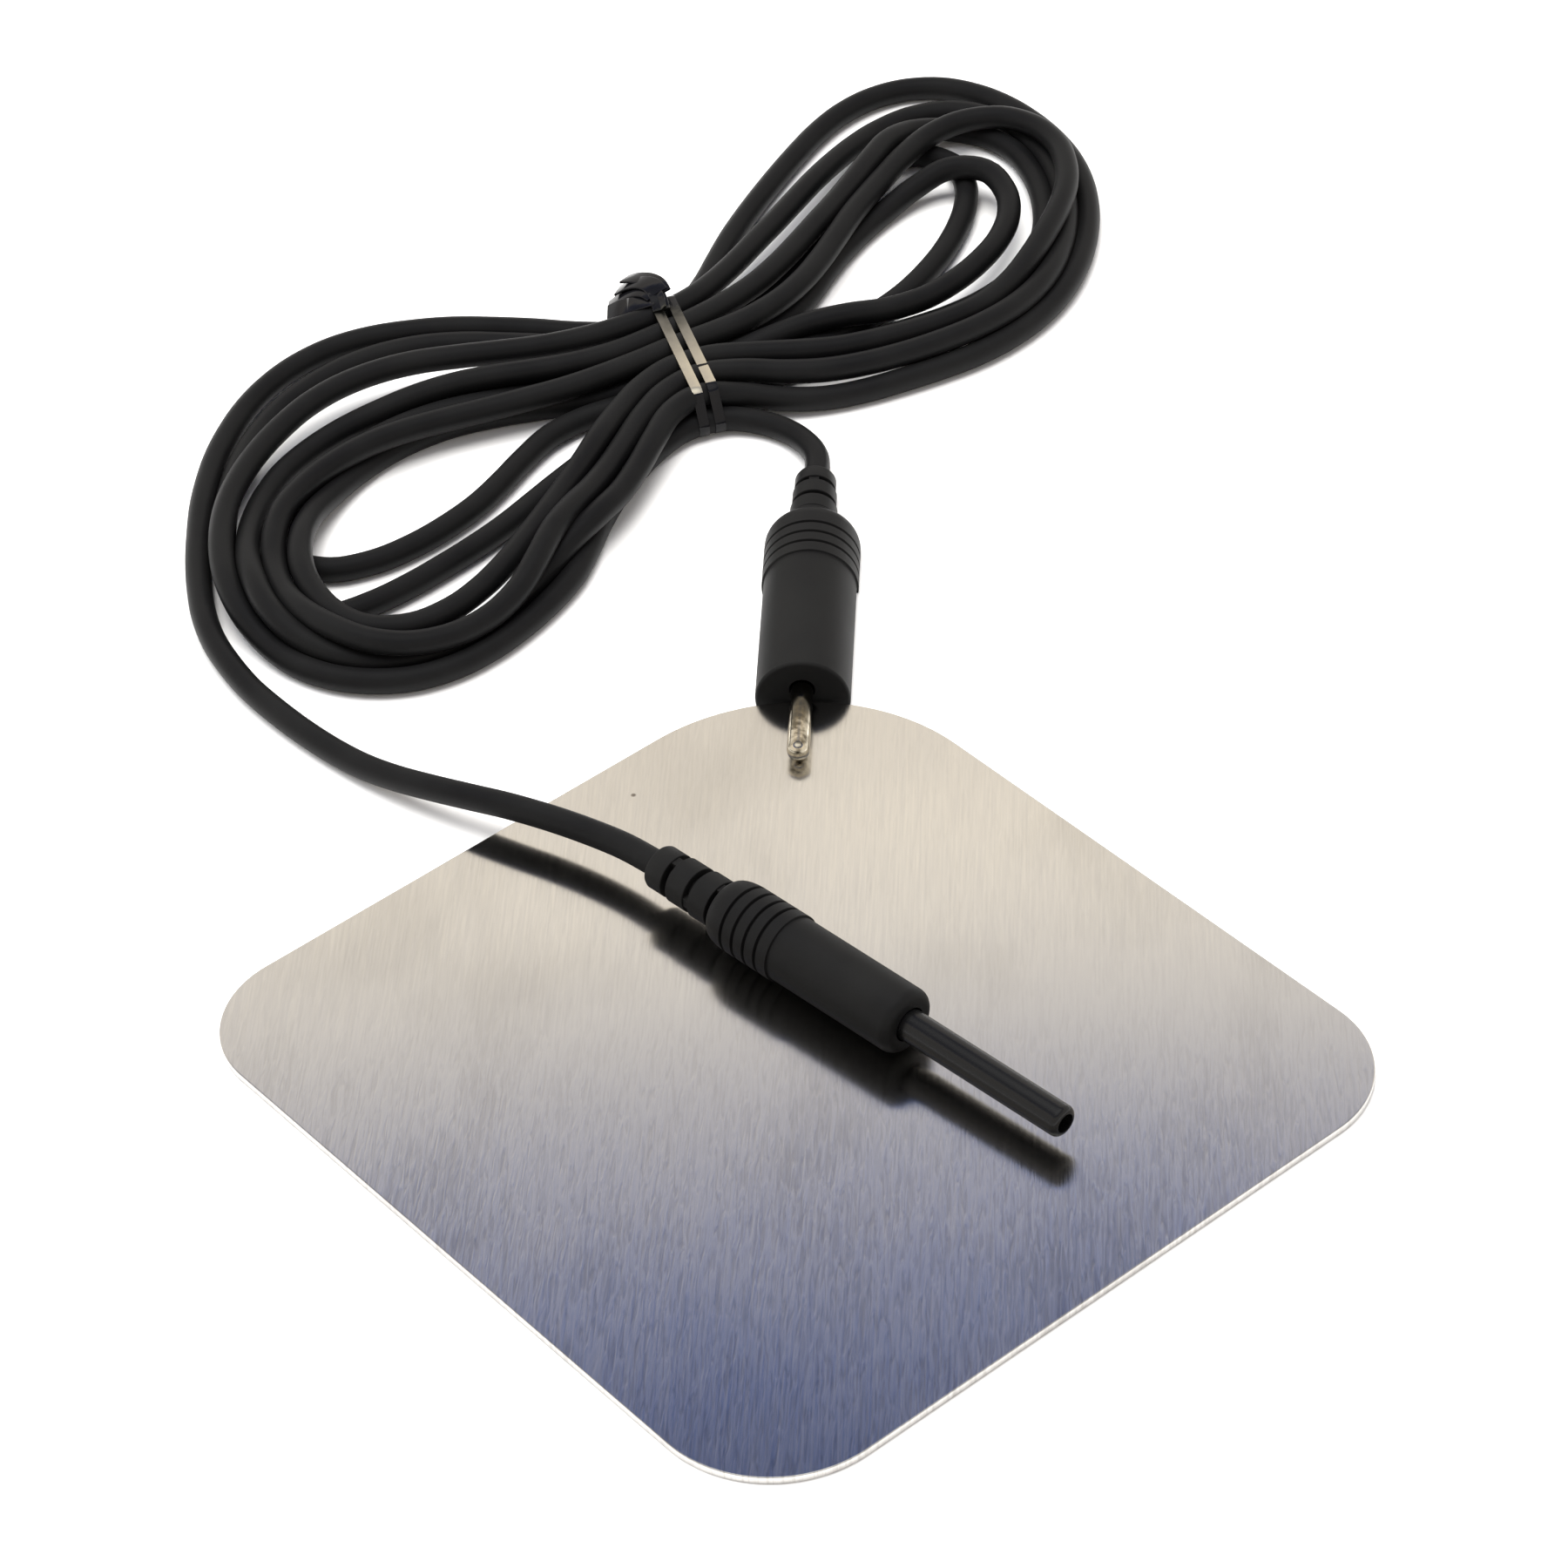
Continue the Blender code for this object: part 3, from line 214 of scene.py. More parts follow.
print(len(ROUTE_MM), "stretches,", len(route_points), "points")

# %% [markdown]
# ## A smooth curve through the points
# Eight millimetres is coarse for a cord under 5 mm thick, so a smooth curve is read through the points.
# The Catmull-Rom rule passes through every point and needs only its two neighbours on each side.

# %% Smooth route
def smooth_route(points, parts):
    """Puts `parts` evenly timed steps between each two points, on a smooth curve through them all."""
    last = len(points) - 1
    route = []
    for index in range(last):
        before, start = points[max(index - 1, 0)], points[index]
        end, after = points[index + 1], points[min(index + 2, last)]
        for step in range(parts):
            t = step / parts
            route.append(
                0.5 * (2.0 * start + (end - before) * t)
                + 0.5 * (2.0 * before - 5.0 * start + 4.0 * end - after) * t * t
                + 0.5 * (3.0 * start - before - 3.0 * end + after) * t * t * t
            )
    route.append(points[-1].copy())
    return route


cord_route = smooth_route(route_points, 5)

# %% [markdown]
# ## The cord itself
# A moulded round cord starts as a curve with a round bevel: Blender sweeps the circle along it. A poly
# spline is used because the points are already close together. The sweep is then made a mesh, so that
# its caps can be welded on. The diameter is the CAD model's. A late measurement found the cord in the
# photograph about a tenth thicker.

# %% Cord
WELD = 0.000002


def mesh_of(name, work):
    """Writes a bmesh into new mesh data and frees it."""
    data = bpy.data.meshes.new(name)
    work.to_mesh(data)
    work.free()
    return data


def swept(name, route, depth, width=0.0, tilt=None):
    """Sweeps a circle, or a flat strip with round edges, along the route and returns it as a mesh."""
    curve = bpy.data.curves.new(name, "CURVE")
    curve.dimensions = "3D"
    curve.bevel_depth = depth
    curve.bevel_resolution = 2 if width else 8
    curve.extrude = width
    curve.use_fill_caps = True
    spline = curve.splines.new("POLY")
    spline.points.add(len(route) - 1)
    for index, (spline_point, place) in enumerate(zip(spline.points, route)):
        spline_point.co = (*place, 1.0)
        spline_point.tilt = tilt(index / len(route)) if tilt else 0.0
    holder = put(name, curve)
    bpy.context.view_layer.update()
    graph = bpy.context.evaluated_depsgraph_get()
    data = bpy.data.meshes.new_from_object(holder.evaluated_get(graph))
    bpy.data.objects.remove(holder)
    return data


cord_work = bmesh.new()
cord_work.from_mesh(swept("lead_sweep", cord_route, CORD_DIAMETER / 2))
bmesh.ops.remove_doubles(cord_work, verts=cord_work.verts, dist=WELD)
bmesh.ops.recalc_face_normals(cord_work, faces=cord_work.faces)
cord_data = mesh_of("lead_cord", cord_work)
cord_data.shade_smooth()
cord_data.set_sharp_from_angle(angle=math.radians(50.0))
cord = put("lead_cord", cord_data)
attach(cord, "root")
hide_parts("lead_to_sleeve_plug", "cord_hank", "lead_to_pin_plug")
lowest = min(point.z for point in cord_route)
print("cord of", len(cord_data.polygons), "faces, lowest middle", round(lowest * 1000, 2), "mm")

# %% [markdown]
# ## The bench top
# The photograph's ground is plain white. A matt white sheet well beyond the picture's edges gives the
# part something to stand on and soft contact shadows. It is staging, not a piece of the electrode.

# %% Bench top
def new_material(name):
    made = bpy.data.materials.new(name)
    made.use_nodes = True
    nodes = made.node_tree.nodes
    return made, nodes, made.node_tree.links, nodes["Principled BSDF"]


bench_mesh = bmesh.new()
bmesh.ops.create_grid(bench_mesh, x_segments=2, y_segments=2, size=3.0)
bench_data = mesh_of("bench_top", bench_mesh)
bench = put("bench_top", bench_data)
bench_white, _, _, bench_shader = new_material("bench_white")
bench_shader.inputs["Base Color"].default_value = (0.90, 0.90, 0.90, 1.0)
bench_shader.inputs["Roughness"].default_value = 0.9
bench_shader.inputs["Specular IOR Level"].default_value = 0.1
bench_data.materials.append(bench_white)
print("bench top", bench_data.name)

# %% [markdown]
# ## The studio
# Polished steel shows its room, so the room is part of the finish. The photographer's plate mirrors a
# warm wall low down, grey above it and a blue dusk window higher up. A ramp over the world's height
# stands in for that wall, and stays a plain soft studio for everything matt.

# %% World
world = bpy.data.worlds.new("studio")
bpy.context.scene.world = world
world.use_nodes = True
world_nodes, world_links = world.node_tree.nodes, world.node_tree.links
sky_place = world_nodes.new("ShaderNodeTexCoord")
sky_parts = world_nodes.new("ShaderNodeSeparateXYZ")
sky_ramp = world_nodes.new("ShaderNodeValToRGB")
world_links.new(sky_place.outputs["Generated"], sky_parts.inputs["Vector"])
world_links.new(sky_parts.outputs["Z"], sky_ramp.inputs["Fac"])
WALL = (
    (0.000, (0.90, 0.89, 0.88)),
    (0.560, (0.86, 0.80, 0.72)),
    (0.632, (1.06, 0.96, 0.83)),
    (0.648, (1.36, 1.24, 1.05)),
    (0.664, (1.52, 1.40, 1.19)),
    (0.675, (1.34, 1.25, 1.10)),
    (0.683, (0.76, 0.74, 0.72)),
    (0.692, (0.44, 0.46, 0.55)),
    (0.700, (0.37, 0.41, 0.60)),
    (0.713, (0.20, 0.27, 0.57)),
    (0.727, (0.08, 0.14, 0.42)),
    (0.740, (0.01, 0.05, 0.20)),
    (0.765, (0.01, 0.03, 0.12)),
    (0.805, (0.05, 0.07, 0.15)),
    (0.860, (0.55, 0.56, 0.60)),
    (0.920, (1.00, 1.00, 1.00)),
    (0.960, (1.15, 1.15, 1.15)),
)


def fill_ramp(ramp, steps):
    """Gives a new colour ramp its steps. Each one is made at its own place, so that none is re-sorted."""
    ramp.elements.remove(ramp.elements[-1])
    ramp.elements[0].position = steps[0][0]
    ramp.elements[0].color = (*steps[0][1], 1.0)
    for position, colour in steps[1:]:
        ramp.elements.new(position).color = (*colour, 1.0)


fill_ramp(sky_ramp.color_ramp, WALL)
world_links.new(sky_ramp.outputs["Color"], world_nodes["Background"].inputs["Color"])
world_nodes["Background"].inputs["Strength"].default_value = 1.0
print("world steps", len(sky_ramp.color_ramp.elements))

# %% [markdown]
# ## Two soft lights
# A large panel overhead and behind gives the cord its soft upper glints, and a smaller one on the left
# models the round mouldings. Large panels keep shadows soft. Neither is seen in mirrors, so the steel
# reflects the wall only.

# %% Lights
def panel_light(name, place, target, size, power, colour):
    data = bpy.data.lights.new(name, "AREA")
    data.size = size
    data.energy = power
    data.color = colour
    lamp = put(name, data)
    lamp.visible_glossy = False
    way = Vector(target) - Vector(place)
    lamp.matrix_world = Matrix.Translation(place) @ way.to_track_quat("-Z", "Y").to_matrix().to_4x4()


MIDDLE = (-0.06, 0.06, 0.0)
panel_light("overhead_panel", (-0.25, 0.10, 1.30), MIDDLE, 1.1, 26.0, (1.0, 0.98, 0.95))
panel_light("left_panel", (-0.90, -0.60, 0.90), MIDDLE, 0.8, 9.0, (0.96, 0.98, 1.0))

# %% [markdown]
# ## Helpers for the hard pieces
# Every hard piece ends as a mesh whose object stays at the origin. `finish_piece` does that, and shades
# the round faces smooth while it keeps real corners sharp. `along` puts a frame on a plug's axis,
# `spun` turns a profile as a lathe would, and `carved` joins and cuts forms.

# %% Helpers
def finish_piece(name, work, nodes=(), sharp=35.0):
    """Turns the finished bmesh into a piece of the electrode."""
    data = mesh_of(name, work)
    data.shade_smooth()
    data.set_sharp_from_angle(angle=math.radians(sharp))
    piece = put(name, data)
    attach(piece, "root")
    if nodes:
        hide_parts(*nodes)
    return piece


def along(point, heading, nose_down=0.0):
    """Local Z looks along the heading, tipped nose down, and local -X looks up."""
    return (
        Matrix.Translation(point)
        @ Matrix.Rotation(heading, 4, "Z")
        @ Matrix.Rotation(math.radians(90.0) + nose_down, 4, "Y")
    )


def spun(profile, place, steps=96):
    """Spins (radius, height) points about local Z into a closed form, and moves it to its place."""
    work = bmesh.new()
    points = [work.verts.new((radius, 0.0, height)) for radius, height in profile]
    lines = [work.edges.new(pair) for pair in zip(points, points[1:])]
    if profile[0][0] > 0.0:
        lines.append(work.edges.new((points[-1], points[0])))
    bmesh.ops.spin(
        work, geom=points + lines, cent=(0, 0, 0), axis=(0, 0, 1), angle=math.tau, steps=steps, use_merge=True
    )
    bmesh.ops.remove_doubles(work, verts=work.verts, dist=WELD)
    bmesh.ops.recalc_face_normals(work, faces=work.faces)
    bmesh.ops.transform(work, matrix=place, verts=work.verts)
    return work


def boxed(size, centre, place):
    work = bmesh.new()
    bmesh.ops.create_cube(work, size=1.0)
    bmesh.ops.scale(work, vec=size, verts=work.verts)
    bmesh.ops.translate(work, vec=centre, verts=work.verts)
    bmesh.ops.transform(work, matrix=place, verts=work.verts)
    return work


def carved(base, steps):
    """Joins or cuts other forms, one after another, and returns the result as a bmesh."""
    helpers = []

    def helper(work):
        form = put("form", mesh_of("form", work))
        helpers.append(form)
        return form

    body = helper(base)
    for operation, work in steps:
        step = body.modifiers.new(operation, "BOOLEAN")
        step.operation, step.solver, step.object = operation, "EXACT", helper(work)
    bpy.context.view_layer.update()
    graph = bpy.context.evaluated_depsgraph_get()
    data = bpy.data.meshes.new_from_object(body.evaluated_get(graph))
    result = bmesh.new()
    result.from_mesh(data)
    for form in helpers:
        bpy.data.objects.remove(form)
    bmesh.ops.dissolve_degenerate(result, dist=0.000001, edges=result.edges)
    return result


print("helpers ready")

# %% [markdown]
# ## The plate
# The plate was sheared from sheet and its four corners cut to different radii. Four corner points make
# the face, each corner is bevelled by its own radius, and the sheet is extruded from it. The last bevel
# is the tiny polished break that catches a thin bright line all round.

# %% Plate
PLATE_LENGTH, PLATE_WIDTH, PLATE_THICKNESS = 0.150, 0.140, 0.0015
EDGE_BREAK = 0.0002
FLAT_ABOVE = 0.999  # faces that look straight up or down mirror the room and must stay flat
CORNERS = {(1, 1): 0.0193, (-1, 1): 0.0368, (-1, -1): 0.0186, (1, -1): 0.0213}
plate_work = bmesh.new()
bmesh.ops.create_grid(plate_work, x_segments=1, y_segments=1, size=0.5)
bmesh.ops.scale(plate_work, vec=(PLATE_LENGTH, PLATE_WIDTH, 1.0), verts=plate_work.verts)
for (side_x, side_y), radius in CORNERS.items():
    corner = max(plate_work.verts, key=lambda vert: vert.co.x * side_x + vert.co.y * side_y)
    bmesh.ops.bevel(
        plate_work, geom=[corner], offset=radius, offset_type="OFFSET", affect="VERTICES",
        segments=32, profile=0.5, material=-1, clamp_overlap=False,
    )
grown = bmesh.ops.extrude_face_region(plate_work, geom=plate_work.faces[:])
top = [item for item in grown["geom"] if isinstance(item, bmesh.types.BMVert)]
bmesh.ops.translate(plate_work, vec=(0.0, 0.0, PLATE_THICKNESS), verts=top)
bmesh.ops.recalc_face_normals(plate_work, faces=plate_work.faces)
rims = [edge for edge in plate_work.edges if len(edge.link_faces) == 2
        and edge.calc_face_angle() > math.radians(60.0)]
bmesh.ops.bevel(
    plate_work, geom=rims, offset=EDGE_BREAK, offset_type="OFFSET", affect="EDGES",
    segments=3, profile=0.5, material=-1,
)
plate = finish_piece("stainless_plate", plate_work, ["return_plate"])
for face in plate.data.polygons:
    face.use_smooth = abs(face.normal.z) < FLAT_ABOVE
print("plate", [round(value, 4) for value in plate.dimensions], len(plate.data.polygons), "faces")

# %% [markdown]
# ## Plug profiles
# Both plugs are moulded in one shot over the contact and the cord: a smooth grip, a ribbed collar for
# the fingers, a shoulder, and a strain relief of three flanges. Profiles are (radius, height) points.

# %% Profiles
SLOT_WIDTH, SLOT_DEPTH, BRIDGE_WIDTH = 0.0013, 0.0014, 0.0018


def quarter(radius, height, edge, count=6):
    """A rounded edge from an end face over to the side."""
    turns = [math.pi / 2 * step / count for step in range(count + 1)]
    return [(radius - edge + edge * math.sin(turn), height - edge + edge * math.cos(turn)) for turn in turns]


def groove(radius, height, width=0.0007, depth=0.00055):
    return [(radius, height + width / 2), (radius - depth, height + width / 4),
            (radius - depth, height - width / 4), (radius, height - width / 2)]


def bore(radius, top, bottom):
    return [(0.0, top), (radius, top), (radius, bottom), (0.0, bottom)]


def shoulder(front_radius, rear_radius, front, length, count=8):
    points = []
    for step in range(count):
        turn = math.pi / 2 * step / count
        drop = (front_radius - rear_radius) * (1.0 - math.cos(turn))
        points.append((front_radius - drop, front - length * math.sin(turn)))
    return points


def flanges(front, rear, front_radius, rear_radius):
    """The strain relief: three flanges that taper to the cord, with a slot before each."""
    pitch = (front - rear) / 3.0
    points = []
    for index in range(3):
        top = front - index * pitch
        radius = front_radius + (rear_radius - front_radius) * (index + 0.5) / 3.0
        points += [(radius - SLOT_DEPTH, top), (radius - SLOT_DEPTH, top - SLOT_WIDTH),
                   (radius - 0.0001, top - SLOT_WIDTH), (radius, top - SLOT_WIDTH - 0.0001)]
        if index < 2:
            points += [(radius, top - pitch + 0.0001), (radius - 0.0001, top - pitch)]
        else:
            points += [(radius, rear + 0.0006), (radius - 0.0002, rear + 0.00018), (radius - 0.0006, rear)]
    return points


def bridges(front, rear, front_radius, rear_radius, place):
    """The ribs that tie the flanges together: above and below, then beside, then above and below."""
    pitch = (front - rear) / 3.0
    steps = []
    for index in range(3):
        radius = front_radius + (rear_radius - front_radius) * (index + 0.5) / 3.0
        reach, length = 2.0 * (radius - 0.0003), SLOT_WIDTH + 0.0008
        size = (reach, BRIDGE_WIDTH, length) if index != 1 else (BRIDGE_WIDTH, reach, length)
        steps.append(("UNION", boxed(size, (0.0, 0.0, front - index * pitch - SLOT_WIDTH / 2), place)))
    return steps


print("profile points in one strain relief:", len(flanges(0.0, -0.014, 0.0045, 0.0037)))

# %% [markdown]
# ## The pin plug's grip
# This plug lies on a flat underside, so its grip is a round form cut level just above the bench. The
# wire leaves it higher up than the grip's own axis, so the strain relief is spun about a second axis
# and joined on. A last cut opens the mouth round the pin and the seat of the cord.

# %% Pin plug grip
PIN_HEADING = math.radians(-42.9)
FAR_CORNER_MIDDLE, CORNER_TO_FACE = Vector((-0.0382, 0.0332)), 0.0371
GRIP_AXIS_HEIGHT, WIRE_AXIS_HEIGHT, BENCH_GAP = 0.00145, 0.0038, 0.0001
GRIP_RADIUS, COLLAR_RADIUS, SHOULDER_RADIUS, ROOT_RADIUS = 0.00845, 0.0088, 0.0062, 0.0052
COLLAR_FRONT, RIB_PITCH = -0.0318, 0.0028
SHOULDER_FRONT, SHOULDER_LENGTH, SHOULDER_REAR = -0.0430, 0.0034, -0.0464
RELIEF_FRONT, RELIEF_REAR, RELIEF_RADII = -0.0467, -0.0607, (0.0045, 0.0037)
MOUTH_RADIUS, CORD_SEAT_RADIUS = 0.0023, 0.00265
CUTTER = (0.25, 0.25, 0.018)
pin_diagonal = Vector((math.cos(PIN_HEADING), math.sin(PIN_HEADING)))
pin_face = FAR_CORNER_MIDDLE - pin_diagonal * CORNER_TO_FACE
grip_place = along(Vector((*pin_face, GRIP_AXIS_HEIGHT)), PIN_HEADING)
wire_place = along(Vector((*pin_face, WIRE_AXIS_HEIGHT)), PIN_HEADING)
grip_profile = [(0.0, 0.0)] + quarter(GRIP_RADIUS, 0.0, 0.0006)
grip_profile += [(GRIP_RADIUS, COLLAR_FRONT), (COLLAR_RADIUS, COLLAR_FRONT - 0.0001)]
for index in (1, 2, 3):
    grip_profile += groove(COLLAR_RADIUS, COLLAR_FRONT - index * RIB_PITCH)
grip_profile += shoulder(COLLAR_RADIUS, SHOULDER_RADIUS, SHOULDER_FRONT, SHOULDER_LENGTH)
grip_profile += [(SHOULDER_RADIUS, SHOULDER_REAR), (0.0, SHOULDER_REAR)]
relief_profile = [(0.0, SHOULDER_FRONT), (ROOT_RADIUS, SHOULDER_FRONT), (ROOT_RADIUS, RELIEF_FRONT)]
relief_profile += flanges(RELIEF_FRONT, RELIEF_REAR, *RELIEF_RADII) + [(0.0, RELIEF_REAR)]
below = Matrix.Translation((*pin_face, BENCH_GAP - CUTTER[2] / 2))
pin_steps = [("UNION", spun(relief_profile, wire_place, 72))]
pin_steps += bridges(RELIEF_FRONT, RELIEF_REAR, *RELIEF_RADII, wire_place)
pin_steps += [("DIFFERENCE", spun(bore(MOUTH_RADIUS, 0.004, -0.0047), wire_place, 48)),
              ("DIFFERENCE", spun(bore(CORD_SEAT_RADIUS, -0.0181, -0.066), wire_place, 48)),
              ("DIFFERENCE", boxed(CUTTER, (0.0, 0.0, 0.0), below))]
pin_grip = finish_piece(
    "pin_plug_moulding", carved(spun(grip_profile, grip_place), pin_steps), ["pin_plug_body"]
)

# %% [markdown]
# ## The pin contact
# The pin is turned from one bar: a rounded nose, the plain 4 mm pin, and inside the moulding a flange
# that stops it from being pulled out and a barrel that is crimped on the wire. One spin makes it all.

# %% Pin contact
def contact_shank(front):
    """The hidden rear of a contact: flange, crimp barrel and the bore for the wire."""
    flange, crimp = front - 0.0050, front - 0.0162
    return [(0.0030, flange), (0.0030, flange - 0.0012), (0.0023, flange - 0.0012), (0.0023, crimp),
            (0.0015, crimp), (0.0015, crimp + 0.0080), (0.0, crimp + 0.0080)]


pin_profile = [(0.0, 0.018)] + quarter(0.0020, 0.018, 0.0018, 12) + [(0.0020, -0.0050)] + contact_shank(0.0)
pin_contact = finish_piece(
    "pin_contact", spun(pin_profile, wire_place, 64), ["pin_plug_contact"]
)

# %% [markdown]
# ## The sleeve plug
# A slimmer, fully round plug. It rests on the plate on its collar's first rib and the front edge of its
# barrel, so its nose points down by under one degree. It has one axis, so grip, collar, shoulder and
# relief are one profile.

# %% Sleeve plug grip
SLEEVE_HEADING, SLEEVE_FACE = math.radians(5.2), (0.0150, 0.0129)
SLIM_RADIUS, SLIM_COLLAR, SLIM_SHOULDER, BARREL_EDGE = 0.00585, 0.0062, 0.0049, 0.0018
SLIM_COLLAR_FRONT, SLIM_RIB_PITCH = -0.0268, 0.0026
SLIM_RELIEF_FRONT, SLEEVE_REAR, SLIM_RELIEF_RADII = -0.0416, -0.0576, (0.0044, 0.0039)
REST_HEIGHT = 0.0018  # the plate's top and the clearance over it
nose_down = math.asin(0.00035 / 0.0250)  # the collar's step over the distance between both supports
sleeve_height = REST_HEIGHT + SLIM_RADIUS - math.tan(nose_down) * BARREL_EDGE
sleeve_place = along(Vector((*SLEEVE_FACE, sleeve_height)), SLEEVE_HEADING, nose_down)
sleeve_profile = [(0.0, 0.0)] + quarter(SLIM_RADIUS, 0.0, BARREL_EDGE)
sleeve_profile += [(SLIM_RADIUS, SLIM_COLLAR_FRONT), (SLIM_COLLAR, SLIM_COLLAR_FRONT - 0.0001)]
for index in (1, 2, 3, 4):
    sleeve_profile += groove(SLIM_COLLAR, SLIM_COLLAR_FRONT - index * SLIM_RIB_PITCH)
sleeve_profile += shoulder(SLIM_COLLAR, SLIM_SHOULDER, -0.0372, 0.0044)[1:]
sleeve_profile += [(SLIM_SHOULDER, SLIM_RELIEF_FRONT)]
sleeve_profile += flanges(SLIM_RELIEF_FRONT, SLEEVE_REAR, *SLIM_RELIEF_RADII) + [(0.0, SLEEVE_REAR)]
sleeve_steps = bridges(SLIM_RELIEF_FRONT, SLEEVE_REAR, *SLIM_RELIEF_RADII, sleeve_place)
sleeve_steps += [("DIFFERENCE", spun(bore(0.0031, 0.004, -0.0120), sleeve_place, 48)),
                 ("DIFFERENCE", spun(bore(CORD_SEAT_RADIUS, -0.0289, -0.063), sleeve_place, 48))]
sleeve_grip = finish_piece(
    "sleeve_plug_moulding", carved(spun(sleeve_profile, sleeve_place), sleeve_steps),
    ["sleeve_plug_body"],
)

# %% [markdown]
# ## The sleeve and the socket inside it
# The long sleeve is a hard black tube, so that a finger can't reach the live socket. Its rim is rounded
# outside and keeps its open bore, where the metal socket sits 4 mm back.

# %% Sleeve and socket
tube_profile = quarter(0.0028, 0.0338, 0.0011, 8)
tube_profile += [(0.0028, -0.0120), (0.0017, -0.0120), (0.0017, 0.0336), (0.00155 + 0.00018, 0.0338)]
black_tube = finish_piece(
    "insulating_sleeve", spun(tube_profile, sleeve_place, 64), ["sleeve_plug_sleeve"]
)
socket_profile = [(0.0, 0.0178), (0.0009, 0.0178), (0.0009, 0.0296), (0.00105, 0.0298), (0.0014, 0.0298),
                  (0.0014, -0.0123)] + contact_shank(-0.0073)
socket = finish_piece(
    "socket_contact", spun(socket_profile, sleeve_place, 48), ["sleeve_plug_contact"]
)

# %% [markdown]
# ## The tie's ring
# The hank is held by a flat tie that goes round twice. A strip pulled tight takes the convex outline of
# what it holds, so the outline here is the hull of the four outermost strands: in every direction, the
# strand that reaches furthest. The hull is swept sideways into a band and given its wall.

# %% Tie ring
TIE_CENTRE, TIE_HEADING = Vector((-0.1545, 0.1052)), math.radians(-24.0)
STRIP_WIDTH, STRIP_THICKNESS, STRIP_PITCH = 0.0020, 0.00045, 0.0032
across = Vector((math.cos(TIE_HEADING), math.sin(TIE_HEADING), 0.0))
up = Vector((0.0, 0.0, 1.0))
tie_turn = Matrix((across, up, across.cross(up))).transposed().to_4x4()
tie_place = Matrix.Translation((TIE_CENTRE.x, TIE_CENTRE.y, 0.0)) @ tie_turn


def hull(strands, reach, count=96):
    """The outline that a tight strip takes round the strands, at this distance from their middles."""
    points = []
    for step in range(count):
        turn = math.tau * (step + 0.5) / count
        way = Vector((math.cos(turn), math.sin(turn)))
        strand = max((Vector(middle) for middle in strands), key=lambda middle: middle.dot(way))
        points.append(strand + way * reach)
    return points


def ring_band(offset, strands):
    """One turn of the strip: the hull as a wire, swept along the cord and given its thickness."""
    work = bmesh.new()
    points = [work.verts.new((point.x, max(point.y, 0.0006), offset - STRIP_WIDTH / 2))
              for point in hull(strands, CORD_DIAMETER / 2 + 0.00012)]
    lines = [work.edges.new((points[index - 1], points[index])) for index in range(len(points))]
    band = bmesh.ops.extrude_edge_only(work, edges=lines)
    moved = [item for item in band["geom"] if isinstance(item, bmesh.types.BMVert)]
    bmesh.ops.translate(work, vec=(0.0, 0.0, STRIP_WIDTH), verts=moved)
    bmesh.ops.recalc_face_normals(work, faces=work.faces)
    bmesh.ops.solidify(work, geom=work.faces[:], thickness=STRIP_THICKNESS)
    bmesh.ops.recalc_face_normals(work, faces=work.faces)
    rims = [edge for edge in work.edges if edge.calc_face_angle(0.0) > math.radians(60.0)]
    bmesh.ops.bevel(work, geom=rims, offset=0.00008, affect="EDGES", segments=2, profile=0.5, material=-1)
    bmesh.ops.transform(work, matrix=tie_place, verts=work.verts)
    return work


NEAR_STRANDS = ((-0.0166, 0.0030), (0.0173, 0.0029), (0.0146, 0.0072), (-0.0137, 0.0072))
FAR_STRANDS = ((-0.0175, 0.0029), (0.0171, 0.0028), (0.0140, 0.0070), (-0.0148, 0.0071))
tie_ring = ring_band(STRIP_PITCH / 2, NEAR_STRANDS)
tie_ring.from_mesh(mesh_of("second_turn", ring_band(-STRIP_PITCH / 2, FAR_STRANDS)))
print("tie ring", len(tie_ring.faces), "faces in two turns")

# %% [markdown]
# ## The tie's twisted ends
# The two ends are twisted together beyond the ring and fan out over the hank's far side. A curve with an
# extruded, lightly bevelled section is a flat strip, and its tilt twists the strip about its length.

# %% Twisted ends
def ribbon(work, path, width, thickness, start, turns):
    """A flat strip along the path that begins turned by `start` and twists steadily."""
    route = smooth_route([Vector(point) for point in path], 8)
    work.from_mesh(swept("tie_end", route, thickness / 2, (width - thickness) / 2,
                         lambda share: math.radians(start) + math.tau * turns * share))


KNOT = ((-0.1650, 0.1087, 0.0099), (-0.1670, 0.1098, 0.0103),
        (-0.1689, 0.1107, 0.0107), (-0.1706, 0.1115, 0.0104))
ribbon(tie_ring, KNOT, 0.0034, 0.0005, 80.0, 0.06)
ribbon(tie_ring, KNOT, 0.0026, 0.0005, 40.0, 0.12)
ENDS = (
    ((-0.1684, 0.1115, 0.0107), (-0.1712, 0.1124, 0.0110), (-0.1741, 0.1124, 0.0108),
     (-0.1768, 0.1115, 0.0102), (-0.1787, 0.1106, 0.0094)),
    ((-0.1686, 0.1110, 0.0110), (-0.1713, 0.1114, 0.0112), (-0.1740, 0.1109, 0.0108),
     (-0.1764, 0.1097, 0.0096), (-0.1782, 0.1083, 0.0080)),
    ((-0.1688, 0.1102, 0.0106), (-0.1711, 0.1100, 0.0106), (-0.1735, 0.1090, 0.0100),
     (-0.1757, 0.1074, 0.0084), (-0.1775, 0.1054, 0.0060)),
    ((-0.1686, 0.1095, 0.0102), (-0.1697, 0.1077, 0.0099), (-0.1713, 0.1058, 0.0093),
     (-0.1732, 0.1042, 0.0083), (-0.1751, 0.1033, 0.0066)),
)
for number, path in enumerate(ENDS):
    ribbon(tie_ring, path, 0.0040, 0.00045, 70.0 + 8.0 * number, 0.08 - 0.05 * number)
